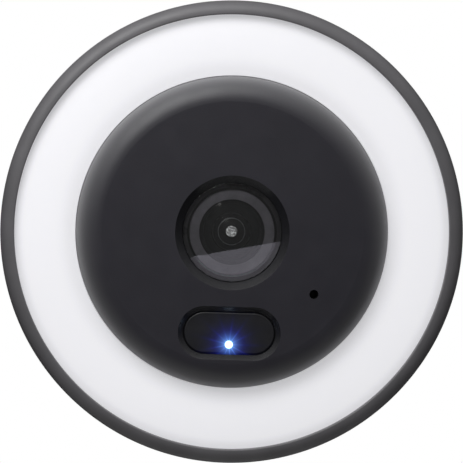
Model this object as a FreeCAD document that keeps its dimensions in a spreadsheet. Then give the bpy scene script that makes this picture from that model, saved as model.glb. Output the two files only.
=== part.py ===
"""Round video doorbell with a ring light, built as a parametric FreeCAD document.

Every piece is drafted face on: X to the right, Y up and Z out from the wall, so that
"out" is a distance from the wall.  FACE then stands each finished piece up in the
part's own frame, where +Z is up and the front of the doorbell looks along -Y.
"""

import FreeCAD, Part
import math
import os
import re

import Sketcher
from FreeCAD import Placement, Rotation, Vector

# Driving dimensions in millimetres, degrees and counts; a text starting with = follows from others.
SIZES = {
    # outer form
    "body_radius": 46.0,  # widest radius, at the bezel
    "rim_step": 0.8,
    "rim_radius": "=body_radius - rim_step",  # where the two shells meet
    "heel_taper": 1.8,
    "heel_radius": "=rim_radius - heel_taper",  # at the rear edge
    "wall_gap": 0.6,  # rear edge to the wall
    "split_out": 20.0,  # plane where the two shells meet
    "bezel_out": 30.2,  # front of the bezel
    "bezel_round": 2.4,
    "bezel_wall": 1.6,
    "bezel_clip": 0.4,  # reach of the snap bead into the mid frame
    "lip_width": 2.8,
    "view_radius": "=body_radius - lip_width",  # where the light ring starts to show
    "face_out": 33.0,  # front of the camera cover
    "face_radius": 31.0,
    "face_round": 5.0,  # rolled edge of the camera cover
    "edge_break": 0.25,
    "fit_gap": 0.05,
    # wall plate and twist lock
    "skirt_wall": 3.0,
    "skirt_radius": "=heel_radius - skirt_wall",
    "plate_inset": 3.9,
    "plate_radius": "=skirt_radius - plate_inset",
    "plate_floor": 2.0,
    "plate_wall": 1.8,
    "plate_rise": 5.0,
    "flange_reach": 3.0,
    "flange_thick": 1.8,
    "flange_angle": 32.0,
    "lug_angle": 28.0,
    "lug_thick": 1.6,
    "lug_gap": 0.2,
    "lug_count": 3,
    "twist_angle": 31.0,
    "stop_gap": 0.4,
    "stop_angle": 2.0,
    "window_width": 34.0,  # opening for the bell wires
    "window_height": 18.0,
    "window_round": 3.0,
    "wall_hole_circle": 50.0,
    "wall_hole_radius": 2.2,
    "wall_hole_count": 4,
    # rear housing
    "shell_wall": 3.4,
    "cavity_radius": "=rim_radius - shell_wall",
    "back_out": 5.6,  # rear face of the back wall
    "back_wall": 2.0,
    "column_inset": 7.3,
    "column_circle": "=cavity_radius - column_inset",
    "column_radius": 3.4,
    "column_top": 3.0,
    "column_out": "=split_out - column_top",  # where the columns meet the mid frame's bosses
    "screw_seat": 12.0,  # depth at which the housing screws' heads sit
    "seal_inset": 1.9,
    "seal_radius": "=rim_radius - seal_inset",
    "seal_thick": 1.0,
    # fasteners
    "big_screw_shank": 1.25,
    "big_screw_head": 2.2,
    "big_screw_bite": 3.4,
    "big_screw_length": "=column_out - screw_seat + big_screw_bite",
    "small_screw_shank": 1.0,
    "small_screw_head": 1.9,
    "tiny_screw_shank": 0.75,
    "tiny_screw_head": 1.4,
    # mid frame, light ring and bezel
    "floor_thick": 1.6,
    "spreader_thick": 0.8,
    "light_board_thick": 1.0,
    "light_board_gap": 1.0,
    "light_board_inner": "=face_radius + light_board_gap",
    "light_board_margin": 0.8,
    "light_board_outer": "=view_radius - light_board_margin",
    "led_circle": "=(light_board_inner + light_board_outer) / 2",
    "led_count": 24,
    "led_long": 3.5,
    "led_wide": 2.8,
    "led_tall": 0.8,
    "reflector_wall": 0.8,
    "diffuser_thick": 1.6,
    "diffuser_sunk": 1.6,
    "diffuser_out": "=bezel_out - diffuser_sunk",  # front of the diffuser at its inner edge
    "diffuser_crown": 0.35,
    "diffuser_flange": 1.0,
    "diffuser_gap": 0.1,
    "light_wire_inset": 3.0,
    "light_wire_right": "=light_board_inner + light_wire_inset",
    "ribbon_left": 22.0,
    # camera cover
    "face_wall": 2.2,
    "face_side": 2.1,
    "face_skirt": "=face_radius - face_side",
    "glass_radius": 9.8,
    "glass_thick": 1.2,
    "glass_depth": 1.6,  # glass below the face
    "glass_ledge": 0.9,
    "mouth_bevel": 1.45,
    "camera_mouth": "=glass_radius + 2 * fit_gap + mouth_bevel",  # radius of the recess at the face
    "tape_thick": 0.2,
    "collar_bore": "=glass_radius - glass_ledge",
    "collar_wall": 2.0,
    "collar_radius": "=glass_radius + 2 * fit_gap + collar_wall",
    "boss_inset": 4.4,
    "boss_circle": "=face_skirt - boss_inset",
    "boss_radius": 2.4,
    "post_inset": 3.4,
    "post_circle": "=face_skirt - post_inset",
    "post_radius": 2.1,
    "mic_right": 16.5,
    "mic_down": 11.7,
    "mic_hole": 0.9,
    # bell button
    "pill_length": 20.4,
    "pill_height": 10.6,
    "pill_bevel": 1.0,
    "pill_gap": 0.2,
    "pill_down": 19.9,
    "button_depth": 1.1,  # button face below the cover's face
    "button_lip": 1.2,
    "button_lip_thick": 1.0,
    "button_travel": 0.6,
    "button_round": 0.3,
    "lamp_drop": 2.3,
    "lamp_down": "=pill_down + lamp_drop",
    "lamp_radius": 0.8,
    # front board
    "front_board_out": 25.4,
    "front_board_thick": 1.0,
    "front_board_inset": 1.1,
    "front_board_radius": "=face_skirt - front_board_inset",
    "front_board_top": 9.2,
    "switch_lift": 1.7,
    "switch_down": "=pill_down - switch_lift",
    "switch_side": 5.2,
    "switch_tall": 2.6,
    "plunger_radius": 1.5,
    # camera
    "camera_board_out": 13.4,
    "camera_board_thick": 1.0,
    "camera_board_margin": 0.8,
    "camera_board_tail": 2.2,
    "holder_half_length": 11.6,
    "holder_low": 6.2,
    "holder_high": 8.8,
    "holder_tall": 4.4,
    "holder_roof": "=camera_board_out + holder_tall",
    "holder_wall": 1.2,
    "holder_tube_wall": 1.5,
    "lens_thread_radius": 6.0,
    "holder_tube": "=lens_thread_radius + holder_tube_wall",
    "holder_tube_out": "=split_out + 1.5",
    "ear_thick": 1.8,
    "ear_half_width": 3.6,
    "ear_screw": 15.5,
    "lens_head_radius": 8.5,
    "lens_head_in": 24.0,
    "lens_head_tall": 4.2,
    "lens_head_out": "=lens_head_in + lens_head_tall",
    "lens_thread_in": "=holder_roof - 0.8",
    "lens_clearance": 2.0,
    "lens_opening": "=lens_head_radius + lens_clearance",
    "retainer_wall": 1.7,
    "retainer_bore": "=lens_head_radius - retainer_wall",
    "retainer_tall": 0.8,
    "retainer_out": "=lens_head_out + retainer_tall",
    "collar_in": "=retainer_out + 0.4",
    "front_glass_wall": 1.1,
    "front_glass_radius": "=lens_head_radius - front_glass_wall",
    "front_glass_rise": 1.0,
    "front_glass_out": "=lens_head_out + front_glass_rise",
    "front_glass_hollow": 9.0,
    "front_glass_rim": 1.9,
    "front_glass_seat": "=lens_head_out - front_glass_rim",
    "front_glass_land": 1.8,
    "front_glass_bore": "=front_glass_radius - front_glass_land",
    "rear_glass_radius": 4.2,
    "filter_shift": 6.4,
    "filter_long": 13.6,
    "filter_wide": 9.0,
    "filter_thick": 0.9,
    "filter_lift": 2.0,
    "filter_out": "=camera_board_out + filter_lift",
    # main board
    "board_in": 9.6,
    "board_thick": 1.6,
    "board_inset": 4.8,
    "board_radius": "=cavity_radius - board_inset",
    "standoff_right": 24.0,
    "standoff_up": 14.0,
    "standoff_radius": 2.4,
    "plug_tall": 1.0,
    "cell_radius": 4.0,
    "cell_long": 20.0,
    # rear terminals, reset key and vent
    "terminal_side": 9.0,
    "terminal_radius": 3.0,
    "terminal_screw_head": 3.4,
    "reset_up": 14.0,
    "reset_radius": 1.5,
    "reset_travel": 0.45,
    "vent_radius": 1.0,
    # speaker
    "speaker_inset": 3.2,
    "speaker_seat": "=cavity_radius - speaker_inset",
    "speaker_half_length": 13.0,
    "speaker_high": "=split_out - 0.6",
    "speaker_gasket": 0.6,
    "speaker_deep": 4.0,
    "speaker_wall": 1.2,
    "speaker_clear": 10.1,
    "board_cut": "=speaker_seat - speaker_clear",
    "slot_wide": 1.4,
    "slot_pitch": 3.0,
    "slot_count": 7,
    "slot_low": "=back_out + back_wall + 2.9",
    "slot_high": "=speaker_high - 1.9",
}

# Places that several pieces share, worked out from the sizes above.
BACK_IN = "(back_out + back_wall)"
FLOOR_OUT = "(split_out + floor_thick)"
SPREADER_OUT = f"({FLOOR_OUT} + spreader_thick)"
LIGHT_BOARD_OUT = f"({SPREADER_OUT} + light_board_thick)"
DIFFUSER_IN = "(diffuser_out - diffuser_thick)"
FLANGE_OUT = f"({DIFFUSER_IN} + diffuser_flange)"
FACE_IN = "(face_out - face_wall)"
GLASS_OUT = "(face_out - glass_depth)"
GLASS_IN = f"({GLASS_OUT} - glass_thick)"
LEDGE_OUT = f"({GLASS_IN} - tape_thick)"
GLASS_BORE = "(glass_radius + 2 * fit_gap)"
MOUTH_IN = f"(face_out - (camera_mouth - {GLASS_BORE}))"
PILL_LONG = "(pill_length - 2 * pill_bevel)"
PILL_TALL = "(pill_height - 2 * pill_bevel)"
BUTTON_OUT = "(face_out - button_depth)"
LIP_OUT = f"({FACE_IN} - fit_gap)"
LIP_IN = f"({LIP_OUT} - button_lip_thick)"
FRONT_BOARD_IN = "(front_board_out - front_board_thick)"
BOARD_OUT = "(board_in + board_thick)"
CAMERA_BOARD_IN = "(camera_board_out - camera_board_thick)"
FLANGE_IN = "(plate_rise - flange_thick)"
LUG_OUT = f"({FLANGE_IN} - lug_gap)"
LUG_IN = f"({LUG_OUT} - lug_thick)"
SPEAKER_FRONT = "(speaker_seat - speaker_gasket)"
SPEAKER_BACK = f"({SPEAKER_FRONT} - speaker_deep)"

FACE = Placement(Vector(0, 0, 0), Rotation(Vector(1, 0, 0), 90))
ALONG_Y = Rotation(Vector(1, 0, 0), -90)
ALONG_X = Rotation(Vector(0, 1, 0), 90)
UPRIGHT = Rotation(Vector(0, 0, 1), 0)

doc = FreeCAD.newDocument("video_doorbell")
sheet = doc.addObject("Spreadsheet::Sheet", "Sizes")
for row, (alias, size) in enumerate(SIZES.items(), start=1):
    sheet.set(f"A{row}", alias)
    sheet.set(f"B{row}", str(size))
    sheet.setAlias(f"B{row}", alias)
doc.recompute()

ALIASES = re.compile(r"\b(" + "|".join(sorted(SIZES, key=len, reverse=True)) + r")\b")
nodes = []


# ---------------------------------------------------------------- drafting helpers
def cells(text):
    """The expression with each size's name pointing at its cell."""
    return ALIASES.sub(r"Sizes.\1", str(text))


def value(text):
    """What an expression comes to now."""
    found = sheet.evalExpression(cells(text))
    return float(getattr(found, "Value", found))


def bind(thing, sizes):
    """Ties the named properties of thing to expressions over the sheet."""
    for name, text in sizes.items():
        thing.setExpression(name, cells(text))
    return thing


def put(thing, x, y, out, turn=UPRIGHT):
    """Places a primitive by expressions, turned by a fixed rotation."""
    thing.Placement = Placement(Vector(0, 0, 0), turn)
    places = {"Placement.Base.x": x, "Placement.Base.y": y, "Placement.Base.z": out}
    return bind(thing, places)


def rod(radius, low, high, x="0", y="0"):
    """A cylinder along the outward axis."""
    sizes = {"Radius": radius, "Height": f"({high}) - ({low})"}
    return put(bind(doc.addObject("Part::Cylinder", "rod"), sizes), x, y, low)


def bar(radius, low, high, x="0", out="0"):
    """A cylinder lying along Y."""
    sizes = {"Radius": radius, "Height": f"({high}) - ({low})"}
    return put(bind(doc.addObject("Part::Cylinder", "bar"), sizes), x, low, out, ALONG_Y)


def log(radius, left, right, y="0", out="0"):
    """A cylinder lying along X."""
    sizes = {"Radius": radius, "Height": f"({right}) - ({left})"}
    return put(bind(doc.addObject("Part::Cylinder", "log"), sizes), left, y, out, ALONG_X)


def block(left, right, bottom, top, low, high):
    """A box between six planes."""
    sizes = {
        "Length": f"({right}) - ({left})",
        "Width": f"({top}) - ({bottom})",
        "Height": f"({high}) - ({low})",
    }
    return put(bind(doc.addObject("Part::Box", "block"), sizes), left, bottom, low)


def chip(x, y, long, wide, low, tall):
    """A box centred on x, y and standing on the plane low."""
    return block(
        f"{x} - ({long}) / 2", f"{x} + ({long}) / 2", f"{y} - ({wide}) / 2", f"{y} + ({wide}) / 2",
        low, f"({low}) + ({tall})",
    )


def fuse(*pieces):
    """One solid of several."""
    made = doc.addObject("Part::MultiFuse", "fuse")
    made.Shapes = list(pieces)
    return made


def cut(base, *tools):
    """base less the tools."""
    made = doc.addObject("Part::Cut", "cut")
    made.Base = base
    made.Tool = tools[0] if len(tools) == 1 else fuse(*tools)
    return made


def group(*pieces):
    """Separate solids that share a node."""
    made = doc.addObject("Part::Compound", "group")
    made.Links = list(pieces)
    return made


def polar(radius, angle):
    """Expressions for x and y at a radius and an angle."""
    return f"({radius}) * cos({angle})", f"({radius}) * sin({angle})"


def tile(angle, long, wide, low, tall):
    """A box on the light ring's circle, long along the circle."""
    made = bind(doc.addObject("Part::Box", "tile"), {"Length": wide, "Width": long, "Height": tall})
    near, side = f"(led_circle - ({wide}) / 2)", f"(({long}) / 2)"
    x = f"{near} * cos({angle}) + {side} * sin({angle})"
    y = f"{near} * sin({angle}) - {side} * cos({angle})"
    return put(made, x, y, low, Rotation(Vector(0, 0, 1), angle))


def add_node(name, made):
    """Names a finished piece and stands it up in the part's frame."""
    if made.TypeId in ("Part::Cylinder", "Part::Box", "Part::Cone", "Part::Feature"):
        made = group(made)
    made.Label = name
    made.Placement = FACE
    nodes.append(made)
    return made


class Outline:
    """Closed loops and circles for one sketch, with every point tied to the sheet."""

    def __init__(self):
        self.loops = []
        self.circles = []

    def loop(self, points):
        """Adds a loop of (x, y) points; (x, y, radius) leaves on an arc, anticlockwise if positive."""
        self.loops.append(points)
        return self

    def circle(self, radius, x="0", y="0"):
        """Adds a circle."""
        self.circles.append((radius, x, y))
        return self

    def rectangle(self, left, right, bottom, top):
        """Adds a rectangle."""
        return self.loop([(left, bottom), (right, bottom), (right, top), (left, top)])

    def rounded(self, half_width, half_height, round_by):
        """Adds a rectangle about the axis with round corners."""
        wide, tall, turn = half_width, half_height, round_by
        return self.loop([
            (f"-({wide}) + {turn}", f"-({tall})"), (f"{wide} - {turn}", f"-({tall})", turn),
            (wide, f"-({tall}) + {turn}"), (wide, f"{tall} - {turn}", turn),
            (f"{wide} - {turn}", tall), (f"-({wide}) + {turn}", tall, turn),
            (f"-({wide})", f"{tall} - {turn}"), (f"-({wide})", f"-({tall}) + {turn}", turn),
        ])

    def sector(self, inner, outer, start, end):
        """Adds a piece of a ring between two angles."""
        corners = [polar(inner, start), polar(outer, start), polar(outer, end), polar(inner, end)]
        return self.loop([corners[0], (*corners[1], outer), corners[2], (*corners[3], f"-({inner})")])

    def pill(self, x, y, long, tall):
        """Adds a slot with round ends, long along X."""
        self.loops.append(("pill", x, y, long, tall))
        return self

    def draw(self, sketch):
        """Draws everything into a sketch."""
        for radius, x, y in self.circles:
            centre = Vector(value(x), value(y), 0)
            at = sketch.addGeometry(Part.Circle(centre, Vector(0, 0, 1), value(radius)))
            tie(sketch, "Radius", radius, at)
            tie(sketch, "DistanceX", x, -1, 1, at, 3)
            tie(sketch, "DistanceY", y, -1, 1, at, 3)
        for points in self.loops:
            if points[0] == "pill":
                draw_pill(sketch, *points[1:])
            else:
                draw_loop(sketch, points)


def tie(sketch, kind, text, *places):
    """Adds a constraint whose size follows an expression."""
    at = sketch.addConstraint(Sketcher.Constraint(kind, *places, value(text)))
    sketch.setExpression(f"Constraints[{at}]", cells(text))


def arc_between(start, end, radius):
    """The arc from start to end with a signed radius, anticlockwise if positive."""
    chord = end - start
    middle = (start + end) * 0.5
    rise = math.sqrt(max(radius * radius - (chord.Length / 2) ** 2, 0))
    side = Vector(-chord.y, chord.x, 0).normalize() * rise
    centre = middle + (side if radius > 0 else side * -1)
    first, last = (start, end) if radius > 0 else (end, start)
    angles = [math.atan2(p.y - centre.y, p.x - centre.x) for p in (first, last)]
    return Part.ArcOfCircle(Part.Circle(centre, Vector(0, 0, 1), abs(radius)), *angles)


def draw_loop(sketch, points):
    """Lines and arcs round a loop, joined end to end."""
    spots = [Vector(value(p[0]), value(p[1]), 0) for p in points]
    ends = []
    for i, point in enumerate(points):
        start, end = spots[i], spots[(i + 1) % len(spots)]
        if len(point) == 2:
            at = sketch.addGeometry(Part.LineSegment(start, end))
            ends.append((at, 1, 2))
        else:
            radius = value(point[2])
            at = sketch.addGeometry(arc_between(start, end, radius))
            ends.append((at, 1, 2) if radius > 0 else (at, 2, 1))
    for i, (at, first, last) in enumerate(ends):
        following = ends[(i + 1) % len(ends)]
        sketch.addConstraint(Sketcher.Constraint("Coincident", at, last, following[0], following[1]))
        tie(sketch, "DistanceX", points[i][0], -1, 1, at, first)
        tie(sketch, "DistanceY", points[i][1], -1, 1, at, first)
        if len(points[i]) == 3:
            tie(sketch, "Radius", f"abs({points[i][2]})", at)


def draw_pill(sketch, x, y, long, tall):
    """A slot with round ends: two lines and two half circles."""
    reach, half = f"(({long}) - ({tall})) / 2", f"({tall}) / 2"
    corners = [
        (f"{x} - {reach}", f"{y} - {half}"), (f"{x} + {reach}", f"{y} - {half}"),
        (f"{x} + {reach}", f"{y} + {half}"), (f"{x} - {reach}", f"{y} + {half}"),
    ]
    spots = [Vector(value(a), value(b), 0) for a, b in corners]
    right, left = (spots[1] + spots[2]) * 0.5, (spots[3] + spots[0]) * 0.5
    up = Vector(0, 0, 1)
    first = sketch.addGeometry(Part.LineSegment(spots[0], spots[1]))
    sketch.addGeometry(Part.ArcOfCircle(Part.Circle(right, up, value(half)), -math.pi / 2, math.pi / 2))
    sketch.addGeometry(Part.LineSegment(spots[2], spots[3]))
    sketch.addGeometry(Part.ArcOfCircle(Part.Circle(left, up, value(half)), math.pi / 2, 3 * math.pi / 2))
    for i, (a, b) in enumerate(corners):
        sketch.addConstraint(Sketcher.Constraint("Coincident", first + i, 2, first + (i + 1) % 4, 1))
        tie(sketch, "DistanceX", a, -1, 1, first + i, 1)
        tie(sketch, "DistanceY", b, -1, 1, first + i, 1)
    tie(sketch, "DistanceX", f"{x} + {reach}", -1, 1, first + 1, 3)
    tie(sketch, "DistanceX", f"{x} - {reach}", -1, 1, first + 3, 3)


class Piece:
    """A PartDesign body and the features added to it in turn."""

    def __init__(self, name):
        self.body = doc.addObject("PartDesign::Body", name)

    def origin(self, role):
        """One of the body's own origin planes or axes."""
        return next(o for o in self.body.Origin.OriginFeatures if o.Role == role)

    def sketch(self, outline, plane, out="0"):
        """A sketch on an origin plane, moved along its normal."""
        made = self.body.newObject("Sketcher::SketchObject", "sketch")
        made.AttachmentSupport = [(self.origin(plane), "")]
        made.MapMode = "FlatFace"
        made.setExpression("AttachmentOffset.Base.z", cells(out))
        outline.draw(made)
        return made

    def volume(self):
        """The solid's volume so far."""
        doc.recompute()
        return self.body.Shape.Volume

    def turn(self, points):
        """Revolves a half section of (radius, out) points about the outward axis."""
        profile = self.sketch(Outline().loop(points), "XZ_Plane")
        made = self.body.newObject("PartDesign::Revolution", "turn")
        made.Profile = profile
        made.ReferenceAxis = (profile, ["V_Axis"])
        made.Angle = 360
        doc.recompute()
        return self

    def pad(self, outline, low, high):
        """Adds material between two planes."""
        made = self.body.newObject("PartDesign::Pad", "pad")
        made.Profile = self.sketch(outline, "XY_Plane", low)
        bind(made, {"Length": f"({high}) - ({low})"})
        doc.recompute()
        return made

    def pocket(self, outline, low, high):
        """Removes material between two planes."""
        before = self.volume()
        made = self.body.newObject("PartDesign::Pocket", "pocket")
        made.Profile = self.sketch(outline, "XY_Plane", high)
        bind(made, {"Length": f"({high}) - ({low})"})
        if self.volume() >= before:
            raise RuntimeError(f"a pocket in {self.body.Name} cuts nothing")
        return made

    def repeat(self, features, count):
        """Repeats features round the outward axis."""
        made = self.body.newObject("PartDesign::PolarPattern", "repeat")
        made.Originals = list(features)
        made.Axis = (self.origin("Z_Axis"), [""])
        made.Angle = 360
        bind(made, {"Occurrences": count})
        self.body.Tip = made
        doc.recompute()
        return made

    def soften(self, kind, size, wanted):
        """Fillets or chamfers the edges that wanted picks."""
        edges = [f"Edge{i}" for i, e in enumerate(self.body.Shape.Edges, start=1) if wanted(e)]
        if not edges:
            raise RuntimeError(f"no edge to soften in {self.body.Name}")
        base = self.body.Tip
        made = self.body.newObject(f"PartDesign::{kind}", kind.lower())
        made.Base = (base, edges)
        bind(made, {"Radius" if kind == "Fillet" else "Size": size})
        self.body.Tip = made
        doc.recompute()
        return self


def pill_edge(out):
    """Picks the edges of a pill's mouth: at one height and not centred on the axis."""
    height = value(out)

    def wanted(edge):
        level = all(abs(v.Z - height) < 1e-4 for v in edge.Vertexes)
        centre = getattr(edge.Curve, "Center", None)
        on_axis = centre is not None and math.hypot(centre.x, centre.y) < 1e-4
        return level and not on_axis

    return wanted


def screw(size, x, y, seat, length, head_tall, toward_front=True):
    """A pan head screw with a cross recess; the head sits on the plane seat."""
    shank, head, slot = f"{size}_screw_shank", f"{size}_screw_head", f"{size}_screw_shank * 0.45"
    if toward_front:
        ends = (f"{seat} - {head_tall}", seat, seat, f"{seat} + {length}")
        recess = (f"{seat} - {head_tall}", f"{seat} - {head_tall} / 3")
    else:
        ends = (seat, f"{seat} + {head_tall}", f"{seat} - {length}", seat)
        recess = (f"{seat} + {head_tall} / 3", f"{seat} + {head_tall}")
    solid = fuse(rod(head, ends[0], ends[1], x, y), rod(shank, ends[2], ends[3], x, y))
    cross = [
        chip(x, y, f"{head} * 1.2", slot, recess[0], f"{recess[1]} - ({recess[0]})"),
        chip(x, y, slot, f"{head} * 1.2", recess[0], f"{recess[1]} - ({recess[0]})"),
    ]
    return cut(solid, *cross)


def swept(points, section):
    """A solid swept along straight runs joined by tangent arcs."""
    spots = [Vector(*p) for p in points]
    edges, here = [], spots[0]
    for before, corner, after in zip(spots, spots[1:], spots[2:]):
        incoming, outgoing = corner - before, after - corner
        turn = incoming.getAngle(outgoing)
        back = 0.45 * min(incoming.Length, outgoing.Length)
        radius = back / math.tan(turn / 2)
        start = corner - Vector(incoming).normalize() * back
        end = corner + Vector(outgoing).normalize() * back
        inward = (Vector(outgoing).normalize() - Vector(incoming).normalize()).normalize()
        middle = corner + inward * (radius / math.cos(turn / 2) - radius)
        edges += [Part.LineSegment(here, start).toShape(), Part.Arc(start, middle, end).toShape()]
        here = end
    edges.append(Part.LineSegment(here, spots[-1]).toShape())
    path = Part.Wire(edges)
    shell = Part.BRepOffsetAPI.MakePipeShell(path)
    shell.add(section(spots[0], spots[1] - spots[0]))
    shell.build()
    shell.makeSolid()
    return shell.shape()


def round_section(radius):
    """A circular section for a swept run."""

    def made(at, along):
        return Part.Wire([Part.Circle(at, along, radius).toShape()])

    return made


def fixed(shape):
    """A feature that holds a shape worked out in code."""
    made = doc.addObject("Part::Feature", "fixed")
    made.Shape = shape
    return made


# ---------------------------------------------------------------- shared places
POST_PLACES = [polar("post_circle", angle) for angle in (90, 210, 330)]
BOSS_PLACES = [polar("boss_circle", angle) for angle in (10, 170, 235, 305)]
COLUMN_PLACES = [polar("column_circle", angle) for angle in (45, 135, 225, 315)]
STANDOFF_PLACES = [(f"{i} * standoff_right", f"{j} * standoff_up") for i in (-1, 1) for j in (-1, 1)]
EAR_PLACES = [("-ear_screw", "0"), ("ear_screw", "0")]
TERMINAL_PLACES = [("-terminal_side", "0"), ("terminal_side", "0")]
PLATE_WALL_OUT = "(plate_radius - flange_reach)"


# ---------------------------------------------------------------- wall plate and housing
def make_wall_plate():
    """The plate that stays on the wall, with flanges and stops for the twist lock."""
    piece = Piece("wall_plate")
    inner = f"{PLATE_WALL_OUT} - plate_wall"
    piece.turn([
        ("0", "0"), (PLATE_WALL_OUT, "0"), (PLATE_WALL_OUT, "plate_rise"),
        (inner, "plate_rise"), (inner, "plate_floor"), ("0", "plate_floor"),
    ])
    root = f"{PLATE_WALL_OUT} - edge_break"
    flange = Outline().sector(root, "plate_radius", "90 - flange_angle / 2", "90 + flange_angle / 2")
    locked = Outline().sector(root, "plate_radius", "90 - flange_angle / 2", "90 - lug_angle / 2 - stop_gap")
    free_at = "90 + lug_angle / 2 + twist_angle + stop_gap"
    released = Outline().sector(root, "plate_radius", free_at, f"{free_at} + stop_angle")
    features = [
        piece.pad(flange, FLANGE_IN, "plate_rise"),
        piece.pad(locked, "0", f"{FLANGE_IN} + flange_thick / 2"),
        piece.pad(released, "0", LUG_OUT),
    ]
    piece.repeat(features, "lug_count")
    window = Outline().rounded("window_width / 2", "window_height / 2", "window_round")
    piece.pocket(window, "0", "plate_floor")
    hole = piece.pocket(Outline().circle("wall_hole_radius", "0", "wall_hole_circle / 2"), "0", "plate_floor")
    piece.repeat([hole], "wall_hole_count")
    add_node("wall_plate", piece.body)


def housing_shell():
    """The turned shell of the rear housing, with its seal groove, lugs, columns and seats."""
    piece = Piece("housing_shell")
    groove_in, groove_out = "seal_radius - seal_thick / 2", "seal_radius + seal_thick / 2"
    groove_low = "split_out - seal_thick * 0.8"
    piece.turn([
        ("0", "back_out"), ("skirt_radius", "back_out"), ("skirt_radius", "wall_gap"),
        ("heel_radius - 4 * edge_break", "wall_gap", "4 * edge_break"),
        ("heel_radius", "wall_gap + 4 * edge_break"), ("rim_radius", "split_out"),
        (groove_out, "split_out"), (groove_out, groove_low), (groove_in, groove_low),
        (groove_in, "split_out"), ("cavity_radius", "split_out"), ("cavity_radius", BACK_IN), ("0", BACK_IN),
    ])
    lug_in = f"{PLATE_WALL_OUT} + fit_gap"
    lug = Outline().sector(lug_in, "skirt_radius + 0.5", "90 - lug_angle / 2", "90 + lug_angle / 2")
    piece.repeat([piece.pad(lug, LUG_IN, LUG_OUT)], "lug_count")
    embedded = f"{BACK_IN} - back_wall / 2"
    columns, standoffs = Outline(), Outline()
    for x, y in COLUMN_PLACES:
        columns.circle("column_radius", x, y)
    for x, y in STANDOFF_PLACES:
        standoffs.circle("standoff_radius", x, y)
    piece.pad(columns, embedded, "column_out")
    piece.pad(standoffs, embedded, "board_in")
    seat_radius = "(cavity_radius + 0.5)"
    half = f"sqrt({seat_radius}^2 - speaker_seat^2)"
    seat = Outline().loop([(f"-{half}", "-speaker_seat", seat_radius), (half, "-speaker_seat")])
    piece.pad(seat, embedded, "split_out - 0.5")
    ribs = Outline()
    for left in ("-speaker_half_length", "speaker_half_length - 4"):
        ribs.rectangle(left, f"{left} + 4", f"-{SPEAKER_BACK}", f"1.4 - {SPEAKER_BACK}")
    piece.pad(ribs, embedded, f"{BACK_IN} + 4")
    return piece


def make_rear_housing():
    """The rear shell: screw wells, rear openings, speaker grille and locking screw hole."""
    piece = housing_shell()
    wells, shanks, pilots, studs = Outline(), Outline(), Outline(), Outline()
    for x, y in COLUMN_PLACES:
        wells.circle("big_screw_head + 2 * fit_gap", x, y)
        shanks.circle("big_screw_shank + 2 * fit_gap", x, y)
    for x, y in STANDOFF_PLACES:
        pilots.circle("small_screw_shank", x, y)
    for x, y in TERMINAL_PLACES:
        studs.circle("terminal_radius / 2", x, y)
    piece.pocket(wells, "back_out", "screw_seat")
    piece.pocket(shanks, "screw_seat", "column_out")
    piece.pocket(pilots, f"{BACK_IN} - back_wall / 3", "board_in")
    piece.pocket(studs, "back_out", BACK_IN)
    piece.pocket(Outline().circle("reset_radius + fit_gap", "0", "reset_up"), "back_out", BACK_IN)
    piece.pocket(Outline().circle("vent_radius", "0", "-reset_up"), "back_out", BACK_IN)
    slots = []
    for i in range(int(value("slot_count"))):
        x = f"({i} - (slot_count - 1) / 2) * slot_pitch"
        edges = (f"{x} - slot_wide / 2", f"{x} + slot_wide / 2")
        slots.append(block(*edges, "-body_radius - 1", "0.5 - speaker_seat", "slot_low", "slot_high"))
    lock = bar("big_screw_shank", "-body_radius", "2 - skirt_radius", "0", f"({LUG_OUT} + 0.1)")
    add_node("rear_housing", cut(piece.body, *slots, lock))


def make_security_screw():
    """The grub screw that locks the housing on its plate, with a hex socket."""
    low, axis = "0.3 - heel_radius", f"({LUG_OUT} + 0.1)"
    body = bar("big_screw_shank", low, f"-{PLATE_WALL_OUT} - 0.3", "0", axis)
    socket = doc.addObject("Part::Prism", "socket")
    socket.Polygon = 6
    bind(socket, {"Circumradius": "big_screw_shank * 0.6", "Height": "1.6"})
    put(socket, "0", low, axis, ALONG_Y)
    add_node("security_screw", cut(body, socket))


def make_housing_seal():
    """The gasket between the two shells."""
    piece = Piece("housing_seal")
    inner, outer = "seal_radius - seal_thick / 2", "seal_radius + seal_thick / 2"
    low = "split_out - seal_thick * 0.8"
    piece.turn([(inner, low), (outer, low), (outer, "split_out"), (inner, "split_out")])
    add_node("housing_seal", piece.body)


def make_mid_frame():
    """The floor that carries the light ring, the camera and the front cover."""
    piece = Piece("mid_frame")
    edge = "(body_radius - bezel_wall - diffuser_gap)"
    deep = f"{edge} - bezel_clip"
    piece.turn([
        ("lens_opening", "split_out"), (edge, "split_out"), (edge, "split_out + 0.2"),
        (deep, "split_out + 0.5"), (deep, "split_out + 1.1"), (edge, "split_out + 1.4"),
        (edge, FLOOR_OUT), ("lens_opening", FLOOR_OUT),
    ])
    bosses, posts, pilots, ear_pilots, holes = (Outline() for _ in range(5))
    for x, y in COLUMN_PLACES:
        bosses.circle("column_radius", x, y)
        pilots.circle("big_screw_shank", x, y)
    for x, y in EAR_PLACES:
        posts.circle("standoff_radius", x, y)
        ear_pilots.circle("small_screw_shank", x, y)
    for x, y in POST_PLACES:
        holes.circle("small_screw_shank + 2 * fit_gap", x, y)
    embedded = "split_out + floor_thick / 2"
    ear_out = "(camera_board_out + ear_thick)"
    piece.pad(bosses, "column_out", embedded)
    piece.pad(posts, ear_out, embedded)
    piece.pocket(pilots, "column_out", "split_out + 0.8")
    piece.pocket(ear_pilots, ear_out, "split_out - 0.6")
    piece.pocket(holes, "split_out", FLOOR_OUT)
    piece.pocket(wire_slots(), "split_out", FLOOR_OUT)
    add_node("mid_frame", piece.body)


def wire_slots():
    """Openings through the floor for the light ring's wires and the front board's ribbon."""
    slots = Outline().rectangle("light_wire_right - 1.2", "light_wire_right + 1.2", "-3.4", "3.4")
    return slots.rectangle("-ribbon_left - 1", "1 - ribbon_left", "-3.6", "3.6")


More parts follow.
